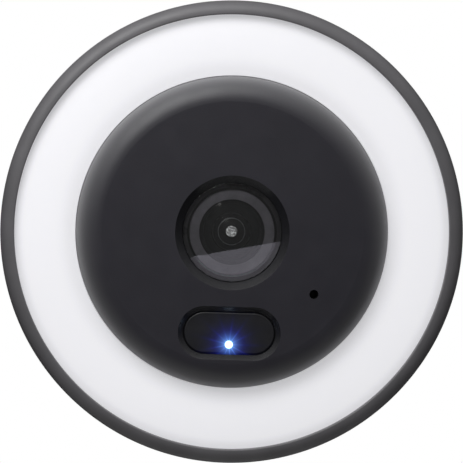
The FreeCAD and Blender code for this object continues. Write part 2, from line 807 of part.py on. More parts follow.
# ---------------------------------------------------------------- light ring and bezel
def make_outer_bezel():
    """The dark outer ring, with its rounded shoulder, front lip and snap bead."""
    piece = Piece("outer_bezel")
    wall = "(body_radius - bezel_wall)"
    bead = f"{wall} - bezel_clip"
    piece.turn([
        (wall, "split_out"), ("rim_radius", "split_out"), ("body_radius", "split_out + 2"),
        ("body_radius", "bezel_out - bezel_round", "bezel_round"), ("body_radius - bezel_round", "bezel_out"),
        ("view_radius + edge_break", "bezel_out"), ("view_radius", "bezel_out - edge_break"),
        ("view_radius", FLANGE_OUT), (wall, FLANGE_OUT), (wall, "split_out + 1.3"),
        (bead, "split_out + 1.0"), (bead, "split_out + 0.6"), (wall, "split_out + 0.3"),
    ])
    add_node("outer_bezel", piece.body)


def make_heat_spreader():
    """The aluminium sheet under the light board."""
    piece = Piece("heat_spreader")
    edge = "(body_radius - bezel_wall - 2 * diffuser_gap)"
    piece.pad(Outline().circle(edge).circle("lens_opening"), FLOOR_OUT, SPREADER_OUT)
    holes = Outline()
    for x, y in POST_PLACES:
        holes.circle("small_screw_shank + 2 * fit_gap", x, y)
    piece.pocket(holes, FLOOR_OUT, SPREADER_OUT)
    piece.pocket(wire_slots(), FLOOR_OUT, SPREADER_OUT)
    add_node("heat_spreader", piece.body)


def make_led_board():
    """The ring-shaped board that carries the lamps."""
    piece = Piece("led_board")
    ring = Outline().circle("light_board_outer").circle("light_board_inner")
    piece.pad(ring, SPREADER_OUT, LIGHT_BOARD_OUT)
    add_node("led_board", piece.body)


def lamp_tiles(long, wide, low, tall):
    """One box for each lamp of the ring."""
    count = int(value("led_count"))
    return [tile(360 / count * i, long, wide, low, tall) for i in range(count)]


def make_ring_leds():
    """The lamps of the light ring."""
    add_node("ring_leds", group(*lamp_tiles("led_long", "led_wide", LIGHT_BOARD_OUT, "led_tall")))


def make_light_reflector():
    """The white trough round the lamps, which also carries the diffuser."""
    piece = Piece("reflector_trough")
    inner, outer = "(face_radius + diffuser_gap)", "(body_radius - bezel_wall - 2 * diffuser_gap)"
    floor = f"({LIGHT_BOARD_OUT} + 0.6)"
    piece.turn([
        (inner, SPREADER_OUT), ("light_board_inner - diffuser_gap", SPREADER_OUT),
        ("light_board_inner - diffuser_gap", LIGHT_BOARD_OUT),
        ("light_board_outer + diffuser_gap", LIGHT_BOARD_OUT),
        ("light_board_outer + diffuser_gap", SPREADER_OUT), (outer, SPREADER_OUT), (outer, DIFFUSER_IN),
        (f"{outer} - reflector_wall", DIFFUSER_IN), (f"{outer} - 1.6 * reflector_wall", floor),
        (f"{inner} + 1.6 * reflector_wall", floor), (f"{inner} + reflector_wall", DIFFUSER_IN),
        (inner, DIFFUSER_IN),
    ])
    gap = "4 * fit_gap"
    windows = lamp_tiles(f"led_long + {gap}", f"led_wide + {gap}", LIGHT_BOARD_OUT, "1")
    add_node("light_reflector", cut(piece.body, *windows))


def make_ring_diffuser():
    """The white ring that glows, slightly crowned, held by its flange under the bezel."""
    piece = Piece("ring_diffuser")
    inner, outer = "(face_radius + diffuser_gap)", "(view_radius - diffuser_gap)"
    flange = "(body_radius - bezel_wall - diffuser_gap)"
    crown = f"((({outer} - {inner}) / 2)^2 + diffuser_crown^2) / (2 * diffuser_crown)"
    piece.turn([
        (inner, DIFFUSER_IN), (flange, DIFFUSER_IN), (flange, FLANGE_OUT), (outer, FLANGE_OUT),
        (outer, "diffuser_out", crown), (inner, "diffuser_out"),
    ])
    add_node("ring_diffuser", piece.body)


# ---------------------------------------------------------------- camera cover and its window
def make_camera_cover():
    """The raised black disc with the lens recess, the button's pill and the microphone hole."""
    piece = Piece("camera_cover")
    roll_in = "(face_round / 2)"
    piece.turn([
        ("face_skirt", SPREADER_OUT), ("face_radius", SPREADER_OUT),
        ("face_radius", "face_out - face_round", "face_round"), ("face_radius - face_round", "face_out"),
        ("camera_mouth", "face_out"), (GLASS_BORE, MOUTH_IN), (GLASS_BORE, LEDGE_OUT),
        ("collar_bore", LEDGE_OUT), ("collar_bore", "collar_in"), ("collar_radius", "collar_in"),
        ("collar_radius", FACE_IN), (f"face_skirt - {roll_in}", FACE_IN, f"-{roll_in}"),
        ("face_skirt", f"{FACE_IN} - {roll_in}"),
    ])
    posts, bosses, post_pilots, boss_pilots = (Outline() for _ in range(4))
    for x, y in POST_PLACES:
        posts.circle("post_radius", x, y)
        post_pilots.circle("small_screw_shank", x, y)
    for x, y in BOSS_PLACES:
        bosses.circle("boss_radius", x, y)
        boss_pilots.circle("tiny_screw_shank", x, y)
    embedded = "face_out - face_wall / 2"
    piece.pad(posts, SPREADER_OUT, embedded)
    piece.pad(bosses, "front_board_out", embedded)
    piece.pocket(post_pilots, SPREADER_OUT, f"{SPREADER_OUT} + 6")
    piece.pocket(boss_pilots, "front_board_out", "front_board_out + 3.8")
    piece.pocket(Outline().pill("0", "-pill_down", PILL_LONG, PILL_TALL), FACE_IN, "face_out")
    piece.soften("Chamfer", "pill_bevel", pill_edge("face_out"))
    piece.pocket(Outline().circle("mic_hole", "mic_right", "-mic_down"), FACE_IN, "face_out")
    add_node("camera_cover", piece.body)


def make_window():
    """The flat cover glass over the lens and the tape that holds it."""
    add_node("window_glass", rod("glass_radius", GLASS_IN, GLASS_OUT))
    tape = Piece("window_tape")
    tape.pad(Outline().circle("glass_radius").circle("collar_bore"), LEDGE_OUT, GLASS_IN)
    add_node("window_tape", tape.body)


# ---------------------------------------------------------------- bell button and front board
PLUNGER_OUT = "(front_board_out + switch_tall + 1.5 * button_travel)"


def make_bell_button():
    """The pill-shaped bell push, with a lip behind the cover and a stem over its switch."""
    piece = Piece("bell_button")
    cap_long, cap_tall = f"({PILL_LONG} - 2 * pill_gap)", f"({PILL_TALL} - 2 * pill_gap)"
    lip = Outline().pill("0", "-pill_down", f"{cap_long} + 2 * button_lip", f"{cap_tall} + 2 * button_lip")
    piece.pad(lip, LIP_IN, LIP_OUT)
    piece.pad(Outline().pill("0", "-pill_down", cap_long, cap_tall), LIP_IN, BUTTON_OUT)
    piece.soften("Fillet", "button_round", pill_edge(BUTTON_OUT))
    piece.pad(Outline().circle("plunger_radius", "0", "-switch_down"), PLUNGER_OUT, f"{LIP_IN} + 0.5")
    piece.pocket(Outline().circle("lamp_radius", "0", "-lamp_down"), LIP_IN, BUTTON_OUT)
    add_node("bell_button", piece.body)
    low = "(front_board_out + 0.6 + button_travel + 0.4)"
    add_node("button_light_pipe", rod("lamp_radius", low, BUTTON_OUT, "0", "-lamp_down"))


def make_front_board():
    """The board behind the cover, cut clear of the lens and of the cover's long posts."""
    disc = rod("front_board_radius", FRONT_BOARD_IN, "front_board_out")
    top = block(
        "-body_radius", "body_radius", "front_board_top", "body_radius",
        f"{FRONT_BOARD_IN} - 1", "front_board_out + 1",
    )
    tools = [top, rod("lens_opening", f"{FRONT_BOARD_IN} - 1", "front_board_out + 1")]
    for x, y in POST_PLACES[1:]:
        tools.append(rod("post_radius + 0.5", f"{FRONT_BOARD_IN} - 1", "front_board_out + 1", x, y))
    for x, y in BOSS_PLACES:
        hole = rod("tiny_screw_shank + 2 * fit_gap", f"{FRONT_BOARD_IN} - 1", "front_board_out + 1", x, y)
        tools.append(hole)
    add_node("front_board", cut(disc, *tools))
    screws = [screw("tiny", x, y, FRONT_BOARD_IN, "4.4", "1") for x, y in BOSS_PLACES]
    add_node("front_board_screws", group(*screws))


def make_bell_switch():
    """The push switch under the button: a body with a bore and the plunger in it."""
    at = ("0", "-switch_down")
    foot = "(front_board_out + 0.4)"
    case = chip(*at, "switch_side", "switch_side", "front_board_out", "switch_tall")
    bore = rod("plunger_radius + fit_gap", foot, "front_board_out + switch_tall + 1", *at)
    add_node("switch_body", cut(case, bore))
    add_node("switch_plunger", rod("plunger_radius", f"{foot} + button_travel + 0.1", PLUNGER_OUT, *at))
    add_node("status_led", chip("0", "-lamp_down", "1.6", "1", "front_board_out", "0.6"))


def make_microphone():
    """The microphone behind its hole and the rubber boot that seals it."""
    at = ("mic_right", "-mic_down")
    add_node("microphone", chip(*at, "3.5", "2.8", "front_board_out", "1"))
    boot = Piece("mic_boot")
    boot.pad(Outline().circle("boss_radius", *at).circle("mic_hole", *at), "front_board_out + 1", FACE_IN)
    add_node("mic_boot", boot.body)


# ---------------------------------------------------------------- camera
def make_lens():
    """The lens: barrel, front element, its retaining ring, the stepped stop and the rear element."""
    barrel = Piece("lens_barrel")
    barrel.turn([
        ("rear_glass_radius - 0.6", "lens_thread_in"), ("lens_thread_radius", "lens_thread_in"),
        ("lens_thread_radius", "lens_head_in"), ("lens_head_radius", "lens_head_in"),
        ("lens_head_radius", "lens_head_out"), ("front_glass_radius", "lens_head_out"),
        ("front_glass_radius", "front_glass_seat"), ("front_glass_bore", "front_glass_seat"),
        ("front_glass_bore", "lens_head_in - 0.4"), ("rear_glass_radius", "lens_head_in - 0.4"),
        ("rear_glass_radius", "lens_thread_in + 1.6"), ("rear_glass_radius - 0.6", "lens_thread_in + 1.6"),
    ])
    add_node("lens_barrel", barrel.body)
    ring = Piece("lens_retainer")
    ring.turn([
        ("retainer_bore", "lens_head_out"), ("lens_head_radius", "lens_head_out"),
        ("lens_head_radius", "retainer_out - edge_break"), ("lens_head_radius - edge_break", "retainer_out"),
        ("retainer_bore + 0.6", "retainer_out"), ("retainer_bore", "retainer_out - 0.5"),
    ])
    add_node("lens_retainer", ring.body)
    rise = "front_glass_rise"
    hollow_top = (
        "front_glass_seat + front_glass_hollow - sqrt(front_glass_hollow^2 - front_glass_bore^2)"
    )
    rim = "(retainer_bore - fit_gap)"
    front = Piece("lens_front_element")
    front.turn([
        ("0", hollow_top, "-front_glass_hollow"), ("front_glass_bore", "front_glass_seat"),
        ("front_glass_radius", "front_glass_seat"), ("front_glass_radius", "lens_head_out"),
        (rim, "lens_head_out", f"({rim}^2 + {rise}^2) / (2 * {rise})"), ("0", "front_glass_out"),
    ])
    add_node("lens_front_element", front.body)
    rear_in, rear_out = "(lens_thread_in + 1.6)", "(lens_thread_in + 3.4)"
    stop_in = "(lens_head_in - 0.4)"
    stop = Piece("lens_stop")
    stop.turn([
        ("rear_glass_radius - 0.8", rear_out), ("rear_glass_radius", rear_out),
        ("rear_glass_radius", stop_in), ("front_glass_bore", stop_in),
        ("front_glass_bore", f"{stop_in} + 2"), ("3.7", f"{stop_in} + 1.4"), ("3.7", f"{stop_in} + 1"),
        ("2.3", f"{stop_in} + 0.7"), ("2.3", f"{stop_in} + 0.3"), ("1.1", f"{stop_in} + 0.1"),
        ("1.1", f"{stop_in} - 0.3"), ("rear_glass_radius - 0.8", f"{stop_in} - 0.8"),
    ])
    add_node("lens_stop", stop.body)
    add_node("lens_rear_element", rod("rear_glass_radius", rear_in, rear_out))


def make_lens_holder():
    """The box over the sensor, with the threaded tube, two ears and the rails of the filter."""
    low = "camera_board_out"
    box = block("-holder_half_length", "holder_half_length", "-holder_low", "holder_high", low, "holder_roof")
    reach = "(ear_screw + ear_half_width)"
    ears = block(f"-{reach}", reach, "-ear_half_width", "ear_half_width", low, f"{low} + ear_thick")
    tube = rod("holder_tube", "holder_roof - 0.5", "holder_tube_out")
    side = "(holder_half_length - holder_wall)"
    bottom, top = "(holder_wall - holder_low)", "(holder_high - holder_wall)"
    hollow = block(f"-{side}", side, bottom, top, f"{low} - 1", "holder_roof - holder_wall")
    bore = rod("lens_thread_radius", "holder_roof - 2 * holder_wall", "holder_tube_out + 1")
    holes = [rod("small_screw_shank + 2 * fit_gap", f"{low} - 1", f"{low} + 3", x, y) for x, y in EAR_PLACES]
    frame = cut(fuse(box, ears, tube), hollow, bore, *holes)
    rail_out = "(filter_out - fit_gap)"
    under = "(filter_wide / 2 - 0.6)"
    ends, levels = (f"-{side} - 0.2", f"{side} + 0.2"), (f"{rail_out} - 0.9", rail_out)
    rails = [
        block(*ends, f"{bottom} - 0.2", f"-{under}", *levels),
        block(*ends, under, f"{under} + 0.8", *levels),
    ]
    add_node("lens_holder", fuse(frame, *rails))


def make_filter():
    """The sliding carrier with its two panes and the coil that shifts it."""
    pane_long, pane_wide = "(filter_shift - 1)", "(filter_wide - 2.4)"
    carrier = chip("-filter_shift / 2", "0", "filter_long", "filter_wide", "filter_out", "filter_thick")
    windows = [
        chip(x, "0", pane_long, pane_wide, "filter_out - 1", "filter_thick + 2")
        for x in ("0", "-filter_shift")
    ]
    add_node("filter_carrier", cut(carrier, *windows))
    pane_low = "filter_out + 0.2"
    add_node("ir_filter_pane", chip("0", "0", pane_long, pane_wide, pane_low, "0.5"))
    add_node("clear_pane", chip("-filter_shift", "0", pane_long, pane_wide, pane_low, "0.5"))
    coil_low = "(filter_wide / 2 + 0.4)"
    coil_high = "holder_high - holder_wall - 0.2"
    coil = block("-5", "5", coil_low, coil_high, "camera_board_out", "camera_board_out + 2.8")
    add_node("filter_coil", coil)


def make_camera_board():
    """The camera's board, the sensor on it, the screws through its ears and its ribbon."""
    reach = "(ear_screw + ear_half_width)"
    low, high = "-holder_low - camera_board_margin", "holder_high + camera_board_tail"
    board = block(f"-{reach}", reach, low, high, CAMERA_BOARD_IN, "camera_board_out")
    holes = [
        rod("small_screw_shank + 2 * fit_gap", f"{CAMERA_BOARD_IN} - 1", "camera_board_out + 1", x, y)
        for x, y in EAR_PLACES
    ]
    add_node("camera_board", cut(board, *holes))
    add_node("image_sensor", chip("0", "0", "8", "6", "camera_board_out", "0.8"))
    screws = [screw("small", x, y, CAMERA_BOARD_IN, "6.6", "1") for x, y in EAR_PLACES]
    add_node("camera_screws", group(*screws))
    half = 0.1
    start = value("camera_board_out") + half
    plug = value(f"{BOARD_OUT} + plug_tall")
    bend = value("holder_high") + 4.2
    run = [(0, value("holder_high") + 0.8, start), (0, bend, start), (0, bend, plug)]
    add_node("camera_flex", fixed(swept(run, flat_section(8, 2 * half, Vector(1, 0, 0)))))


# ---------------------------------------------------------------- main board and what stands on it
def make_main_board():
    """The main board, notched round the columns and cut off above the speaker."""
    low, high = "board_in - 1", f"{BOARD_OUT} + 1"
    disc = rod("board_radius", "board_in", BOARD_OUT)
    tools = [block("-body_radius", "body_radius", "-body_radius", "-board_cut", low, high)]
    tools += [rod("column_radius + 0.3", low, high, x, y) for x, y in COLUMN_PLACES]
    tools += [rod("small_screw_shank + 2 * fit_gap", low, high, x, y) for x, y in STANDOFF_PLACES]
    tools += [rod("terminal_radius / 2 + 2 * fit_gap", low, high, x, y) for x, y in TERMINAL_PLACES]
    add_node("main_board", cut(disc, *tools))
    screws = [screw("small", x, y, BOARD_OUT, "4", "1.3", False) for x, y in STANDOFF_PLACES]
    add_node("board_screws", group(*screws))


def make_board_parts():
    """The larger parts on the main board and the plugs for the ribbons and wires."""
    add_node("processor_shield", chip("-4", "22.5", "14", "14", BOARD_OUT, "1.8"))
    add_node("wifi_module", chip("13.5", "22", "9", "12", BOARD_OUT, "1.6"))
    add_node("power_inductor", chip("14", "-20.5", "9", "9", BOARD_OUT, "4"))
    cans = [
        log("cell_radius", "1 - cell_long", "1", y, f"({BOARD_OUT} + cell_radius)")
        for y in ("-10 - cell_radius", "-10.8 - 3 * cell_radius")
    ]
    add_node("supercapacitors", group(*cans))
    plugs = [
        chip("0", "holder_high + 4.2", "10", "2.4", BOARD_OUT, "plug_tall"),
        chip("-ribbon_left - 2.5", "0", "2.4", "8", BOARD_OUT, "plug_tall"),
        chip("32", "0", "3", "6.4", BOARD_OUT, "plug_tall"),
    ]
    add_node("board_connectors", group(*plugs))


def make_terminals():
    """The two brass posts through the back wall and the screws that clamp the bell wires."""
    foot = "(back_out - 1.2)"
    posts, screws = [], []
    for x, y in TERMINAL_PLACES:
        stud = rod("terminal_radius / 2", foot, f"{BOARD_OUT} + 0.7", x, y)
        bore = rod("big_screw_shank * 0.9", f"{foot} - 1", f"{foot} + 4", x, y)
        posts.append(cut(fuse(rod("terminal_radius", foot, "back_out", x, y), stud), bore))
        head = rod("terminal_screw_head", f"{foot} - 1.5", foot, x, y)
        shank = rod("big_screw_shank * 0.9", foot, f"{foot} + 3.8", x, y)
        slot = chip(x, y, "terminal_screw_head * 2.2", "1", f"{foot} - 2", "1.1")
        screws.append(cut(fuse(head, shank), slot))
    add_node("terminal_posts", group(*posts))
    add_node("terminal_screws", group(*screws))


def make_reset():
    """The reset key in the back wall and its switch on the rear of the main board."""
    at = ("0", "reset_up")
    flange = f"({BACK_IN} + fit_gap)"
    key = fuse(
        rod("reset_radius", "back_out - 0.3", f"{flange} + 0.3", *at),
        rod("reset_radius + 0.9", flange, f"{flange} + 0.6", *at),
    )
    add_node("reset_button", key)
    low = f"({flange} + 0.6 + reset_travel + fit_gap)"
    add_node("reset_switch", chip(*at, "5", "4", low, f"board_in - {low}"))
    add_node("vent_membrane", rod("vent_radius + 1.4", BACK_IN, f"{BACK_IN} + 0.2", "0", "-reset_up"))


def make_antenna():
    """The aerial strip inside the top of the housing."""
    piece = Piece("antenna")
    strip = Outline().sector("cavity_radius - 0.5", "cavity_radius", "65", "115")
    piece.pad(strip, f"{BACK_IN} + 2.4", f"{BACK_IN} + 8.4")
    add_node("antenna", piece.body)


# ---------------------------------------------------------------- speaker
def speaker_window(low, high, inset):
    """A box through the speaker's middle between two distances below the centre."""
    side = f"(speaker_half_length - {inset})"
    return block(f"-{side}", side, low, high, f"{BACK_IN} + {inset}", f"speaker_high - {inset}")


def make_speaker():
    """The speaker against the lower wall: frame, magnet, cone and gasket."""
    box = speaker_window(f"-{SPEAKER_FRONT}", f"-{SPEAKER_BACK}", "0")
    hollow = speaker_window(f"-{SPEAKER_FRONT} - 1", f"-{SPEAKER_BACK} - 1", "speaker_wall")
    add_node("speaker_frame", cut(box, hollow))
    magnet = block(
        "-5", "5", f"-{SPEAKER_BACK} - 2.2", f"-{SPEAKER_BACK} - 1", f"{BACK_IN} + 3.4", f"{BACK_IN} + 8.4"
    )
    add_node("speaker_magnet", magnet)
    skin = speaker_window(f"-{SPEAKER_FRONT} + 0.3", f"-{SPEAKER_FRONT} + 0.6", "speaker_wall")
    cap = speaker_window(f"-{SPEAKER_FRONT} + 0.4", f"-{SPEAKER_BACK} - 2.2", "3.4")
    add_node("speaker_cone", fuse(skin, cap))
    ring = speaker_window("-speaker_seat", f"-{SPEAKER_FRONT}", "0")
    opening = speaker_window("-speaker_seat - 1", f"1 - {SPEAKER_FRONT}", "speaker_wall")
    add_node("speaker_gasket", cut(ring, opening))


# ---------------------------------------------------------------- wires and screws
def flat_section(wide, thick, across):
    """A flat section for a swept run, wide along across."""

    def made(at, along):
        side = Vector(across) * (wide / 2)
        lift = Vector(along).cross(across).normalize() * (thick / 2)
        corners = [at + side + lift, at - side + lift, at - side - lift, at + side - lift]
        return Part.makePolygon(corners + corners[:1])

    return made


def make_wires():
    """The wires inside: to the speaker, to the light ring and the front board's ribbon."""
    board, plug = value(BOARD_OUT), value(f"{BOARD_OUT} + plug_tall")
    back = value(SPEAKER_BACK)
    speaker = [
        swept([(x, -back, board + 4), (x, 7 - back, board + 4), (x, 7 - back, board)], round_section(0.45))
        for x in (3.5, 5.5)
    ]
    add_node("speaker_wires", fixed(Part.makeCompound(speaker)))
    ring, right = value(SPREADER_OUT), value("light_wire_right")
    lights = []
    for y in (-2, 0, 2):
        run = [(right, y, ring), (right, y, board + 6), (32, y, board + 6), (32, y, plug)]
        lights.append(swept(run, round_section(0.45)))
    add_node("led_wires", fixed(Part.makeCompound(lights)))
    front, left = value(FRONT_BOARD_IN), -value("ribbon_left")
    ribbon = [(left, 0, front), (left, 0, board + 6), (left - 2.5, 0, board + 6), (left - 2.5, 0, plug)]
    add_node("front_flex", fixed(swept(ribbon, flat_section(6, 0.2, Vector(0, 1, 0)))))


def make_shell_screws():
    """The screws that close the shells and the ones that hold the cover."""
    shells = [screw("big", x, y, "screw_seat", "big_screw_length", "1.6") for x, y in COLUMN_PLACES]
    add_node("housing_screws", group(*shells))
    covers = [screw("small", x, y, "split_out", "8", "1.3") for x, y in POST_PLACES]
    add_node("face_screws", group(*covers))


# ---------------------------------------------------------------- the whole
def check_document():
    """Stops if any object failed or any shape is empty or invalid."""
    doc.recompute()
    for thing in doc.Objects:
        if {"Invalid", "Error"} & set(thing.State):
            raise RuntimeError(f"{thing.Name} failed: {thing.State}")
    for node in nodes:
        if node.Shape.isNull() or not node.Shape.isValid() or not node.Shape.Solids:
            raise RuntimeError(f"{node.Label} has no valid solid")


def write_parts():
    """Writes one STEP file for each piece."""
    os.makedirs("parts", exist_ok=True)
    for node in nodes:
        node.Shape.exportStep(f"parts/{node.Label}.step")


make_wall_plate()
make_rear_housing()
make_security_screw()
make_housing_seal()
make_mid_frame()
make_outer_bezel()
make_heat_spreader()
make_led_board()
make_ring_leds()
make_light_reflector()
make_ring_diffuser()
make_camera_cover()
make_window()
make_bell_button()
make_front_board()
make_bell_switch()
make_microphone()
make_lens()
make_lens_holder()
make_filter()
make_camera_board()
make_main_board()
make_board_parts()
make_terminals()
make_reset()
make_antenna()
make_speaker()
make_wires()
make_shell_screws()
check_document()
write_parts()
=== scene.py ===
"""Looks of a round video doorbell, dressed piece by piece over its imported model.

The doorbell stands in its own frame: +Z up, the wall at Y = 0 and the front looking along -Y.
Turned pieces are drawn as (radius, out) outlines, where out is the distance from the wall.
"""

import logging
import math
from dataclasses import dataclass, field
from enum import Enum
from typing import Protocol

import bmesh
import bpy
from mathutils import Matrix, Vector

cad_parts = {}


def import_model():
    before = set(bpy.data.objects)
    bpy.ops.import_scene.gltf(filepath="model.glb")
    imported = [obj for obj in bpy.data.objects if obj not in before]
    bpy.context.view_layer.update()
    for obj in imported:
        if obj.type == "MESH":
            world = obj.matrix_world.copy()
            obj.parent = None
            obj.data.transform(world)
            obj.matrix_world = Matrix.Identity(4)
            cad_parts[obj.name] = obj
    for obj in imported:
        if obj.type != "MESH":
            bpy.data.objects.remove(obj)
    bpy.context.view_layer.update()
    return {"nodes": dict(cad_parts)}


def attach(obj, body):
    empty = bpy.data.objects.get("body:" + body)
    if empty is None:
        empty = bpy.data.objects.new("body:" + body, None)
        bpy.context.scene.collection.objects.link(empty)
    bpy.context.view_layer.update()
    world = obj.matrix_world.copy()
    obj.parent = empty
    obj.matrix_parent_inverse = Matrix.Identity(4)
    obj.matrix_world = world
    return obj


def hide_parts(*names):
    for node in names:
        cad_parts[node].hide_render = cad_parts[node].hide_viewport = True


Colour = tuple[float, float, float]
Outline = list[tuple[float, float]]
Source = bpy.types.NodeSocket | float | tuple[float, ...]

LOG = logging.getLogger("doorbell")
MM = 0.001
AXIS = Vector((0.0, 0.0, 0.0))
MOTTLE = 0.009  # width of a patch of uneven colour, in metres
WORN_PATCH = 0.0035  # width of a patch of uneven roughness, in metres
BANDS = 0.314  # wave scale, in 1/m, that makes bands one metre apart
SUPPORT = 1.04  # how far past a rounding its support loop stands
CREASE = math.radians(35.0)  # edges bent more than this are shaded as sharp
STRAIGHT = math.radians(89.5)  # half the angle above which a corner counts as straight


class Body(Enum):
    """The bodies that the pieces ride on."""

    PLATE = "wall_plate"
    HOUSING = "housing"
    BUTTON = "bell_button"
    PLUNGER = "switch_plunger"
    FILTER = "filter_carrier"
    RESET = "reset_button"


class Tooling(Enum):
    """What a mould or a tool leaves on a surface."""

    SPARKED = "sparked"
    POLISHED = "polished"
    TURNED = "turned"
    BRUSHED = "brushed"


class Turning(Enum):
    """How many steps make one full turn of a lathed piece."""

    SPECK = 64
    BEAD = 160
    LENS = 192
    RING = 320


# ---------------------------------------------------------------- shader bench
def fill_ramp(ramp: bpy.types.ColorRamp, stops: list[tuple[float, Colour]]) -> None:
    """Sets the colours along a ramp.

    Args:
        ramp: the ramp, as it is when new.
        stops: places from 0 to 1 and the colour at each, in order.
    """
    for end, (place, colour) in ((0, stops[0]), (-1, stops[-1])):
        ramp.elements[end].position = place
        ramp.elements[end].color = (*colour, 1.0)
    for place, colour in stops[1:-1]:
        ramp.elements.new(place).color = (*colour, 1.0)


class Wiring:
    """A node tree being wired up."""

    def __init__(self, tree: bpy.types.NodeTree) -> None:
        """Starts with an empty tree.

        Args:
            tree: the tree, whose nodes are cleared.
        """
        self.tree = tree
        self.tree.nodes.clear()

    def add(self, kind: str, **settings: object) -> bpy.types.Node:
        """Adds a node.

        Args:
            kind: Blender's name of the node type.
            settings: properties to set on it.

        Returns:
            The node.
        """
        node = self.tree.nodes.new(kind)
        for key, setting in settings.items():
            setattr(node, key, setting)
        return node

    def join(self, start: bpy.types.NodeSocket, end: bpy.types.NodeSocket) -> None:
        """Links an output socket to an input socket."""
        self.tree.links.new(start, end)

    def feed(self, socket: bpy.types.NodeSocket, source: Source) -> None:
        """Links a source that is a socket, or sets the socket to a source that is a value.

        Args:
            socket: the input.
            source: a socket or a value.
        """
        if isinstance(source, bpy.types.NodeSocket):
            self.join(source, socket)
        else:
            socket.default_value = source

    def math(
        self, operation: str, first: Source, second: Source = 0.0, clamp: bool = False
    ) -> bpy.types.NodeSocket:
        """Combines two numbers.

        Args:
            operation: the operation's name.
            first: a socket or a number.
            second: a socket or a number.
            clamp: whether the result is held between 0 and 1.

        Returns:
            The result's socket.
        """
        node = self.add("ShaderNodeMath", operation=operation, use_clamp=clamp)
        self.feed(node.inputs[0], first)
        self.feed(node.inputs[1], second)
        return node.outputs[0]

    def ramp(self, source: bpy.types.NodeSocket, stops: list[tuple[float, Colour]]) -> bpy.types.NodeSocket:
        """Turns a value into a colour.

        Args:
            source: the value.
            stops: places from 0 to 1 and the colour at each.

        Returns:
            The colour's socket.
        """
        node = self.add("ShaderNodeValToRGB")
        fill_ramp(node.color_ramp, stops)
        self.join(source, node.inputs["Fac"])
        return node.outputs["Color"]

    def span(
        self, source: bpy.types.NodeSocket, low: float, high: float, to_low: float, to_high: float
    ) -> bpy.types.NodeSocket:
        """Carries a value from one span to another, held at both ends.

        Args:
            source: the value.
            low: the span's start.
            high: the span's end.
            to_low: the result at its start.
            to_high: the result at its end.

        Returns:
            The result's socket.
        """
        node = self.add("ShaderNodeMapRange")
        node.inputs["From Min"].default_value = low
        node.inputs["From Max"].default_value = high
        node.inputs["To Min"].default_value = to_low
        node.inputs["To Max"].default_value = to_high
        self.join(source, node.inputs["Value"])
        return node.outputs["Result"]

    def blend(self, share: Source, first: Source, second: Source, way: str = "MIX") -> bpy.types.NodeSocket:
        """Blends two colours.

        Args:
            share: how much of the second there is.
            first: the first colour.
            second: the second colour.
            way: Blender's name of the blending.

        Returns:
            The colour's socket.
        """
        node = self.add("ShaderNodeMix", data_type="RGBA", blend_type=way)
        for name, source in (("Factor", share), ("A", first), ("B", second)):
            self.feed(node.inputs[name], source)
        return node.outputs["Result"]


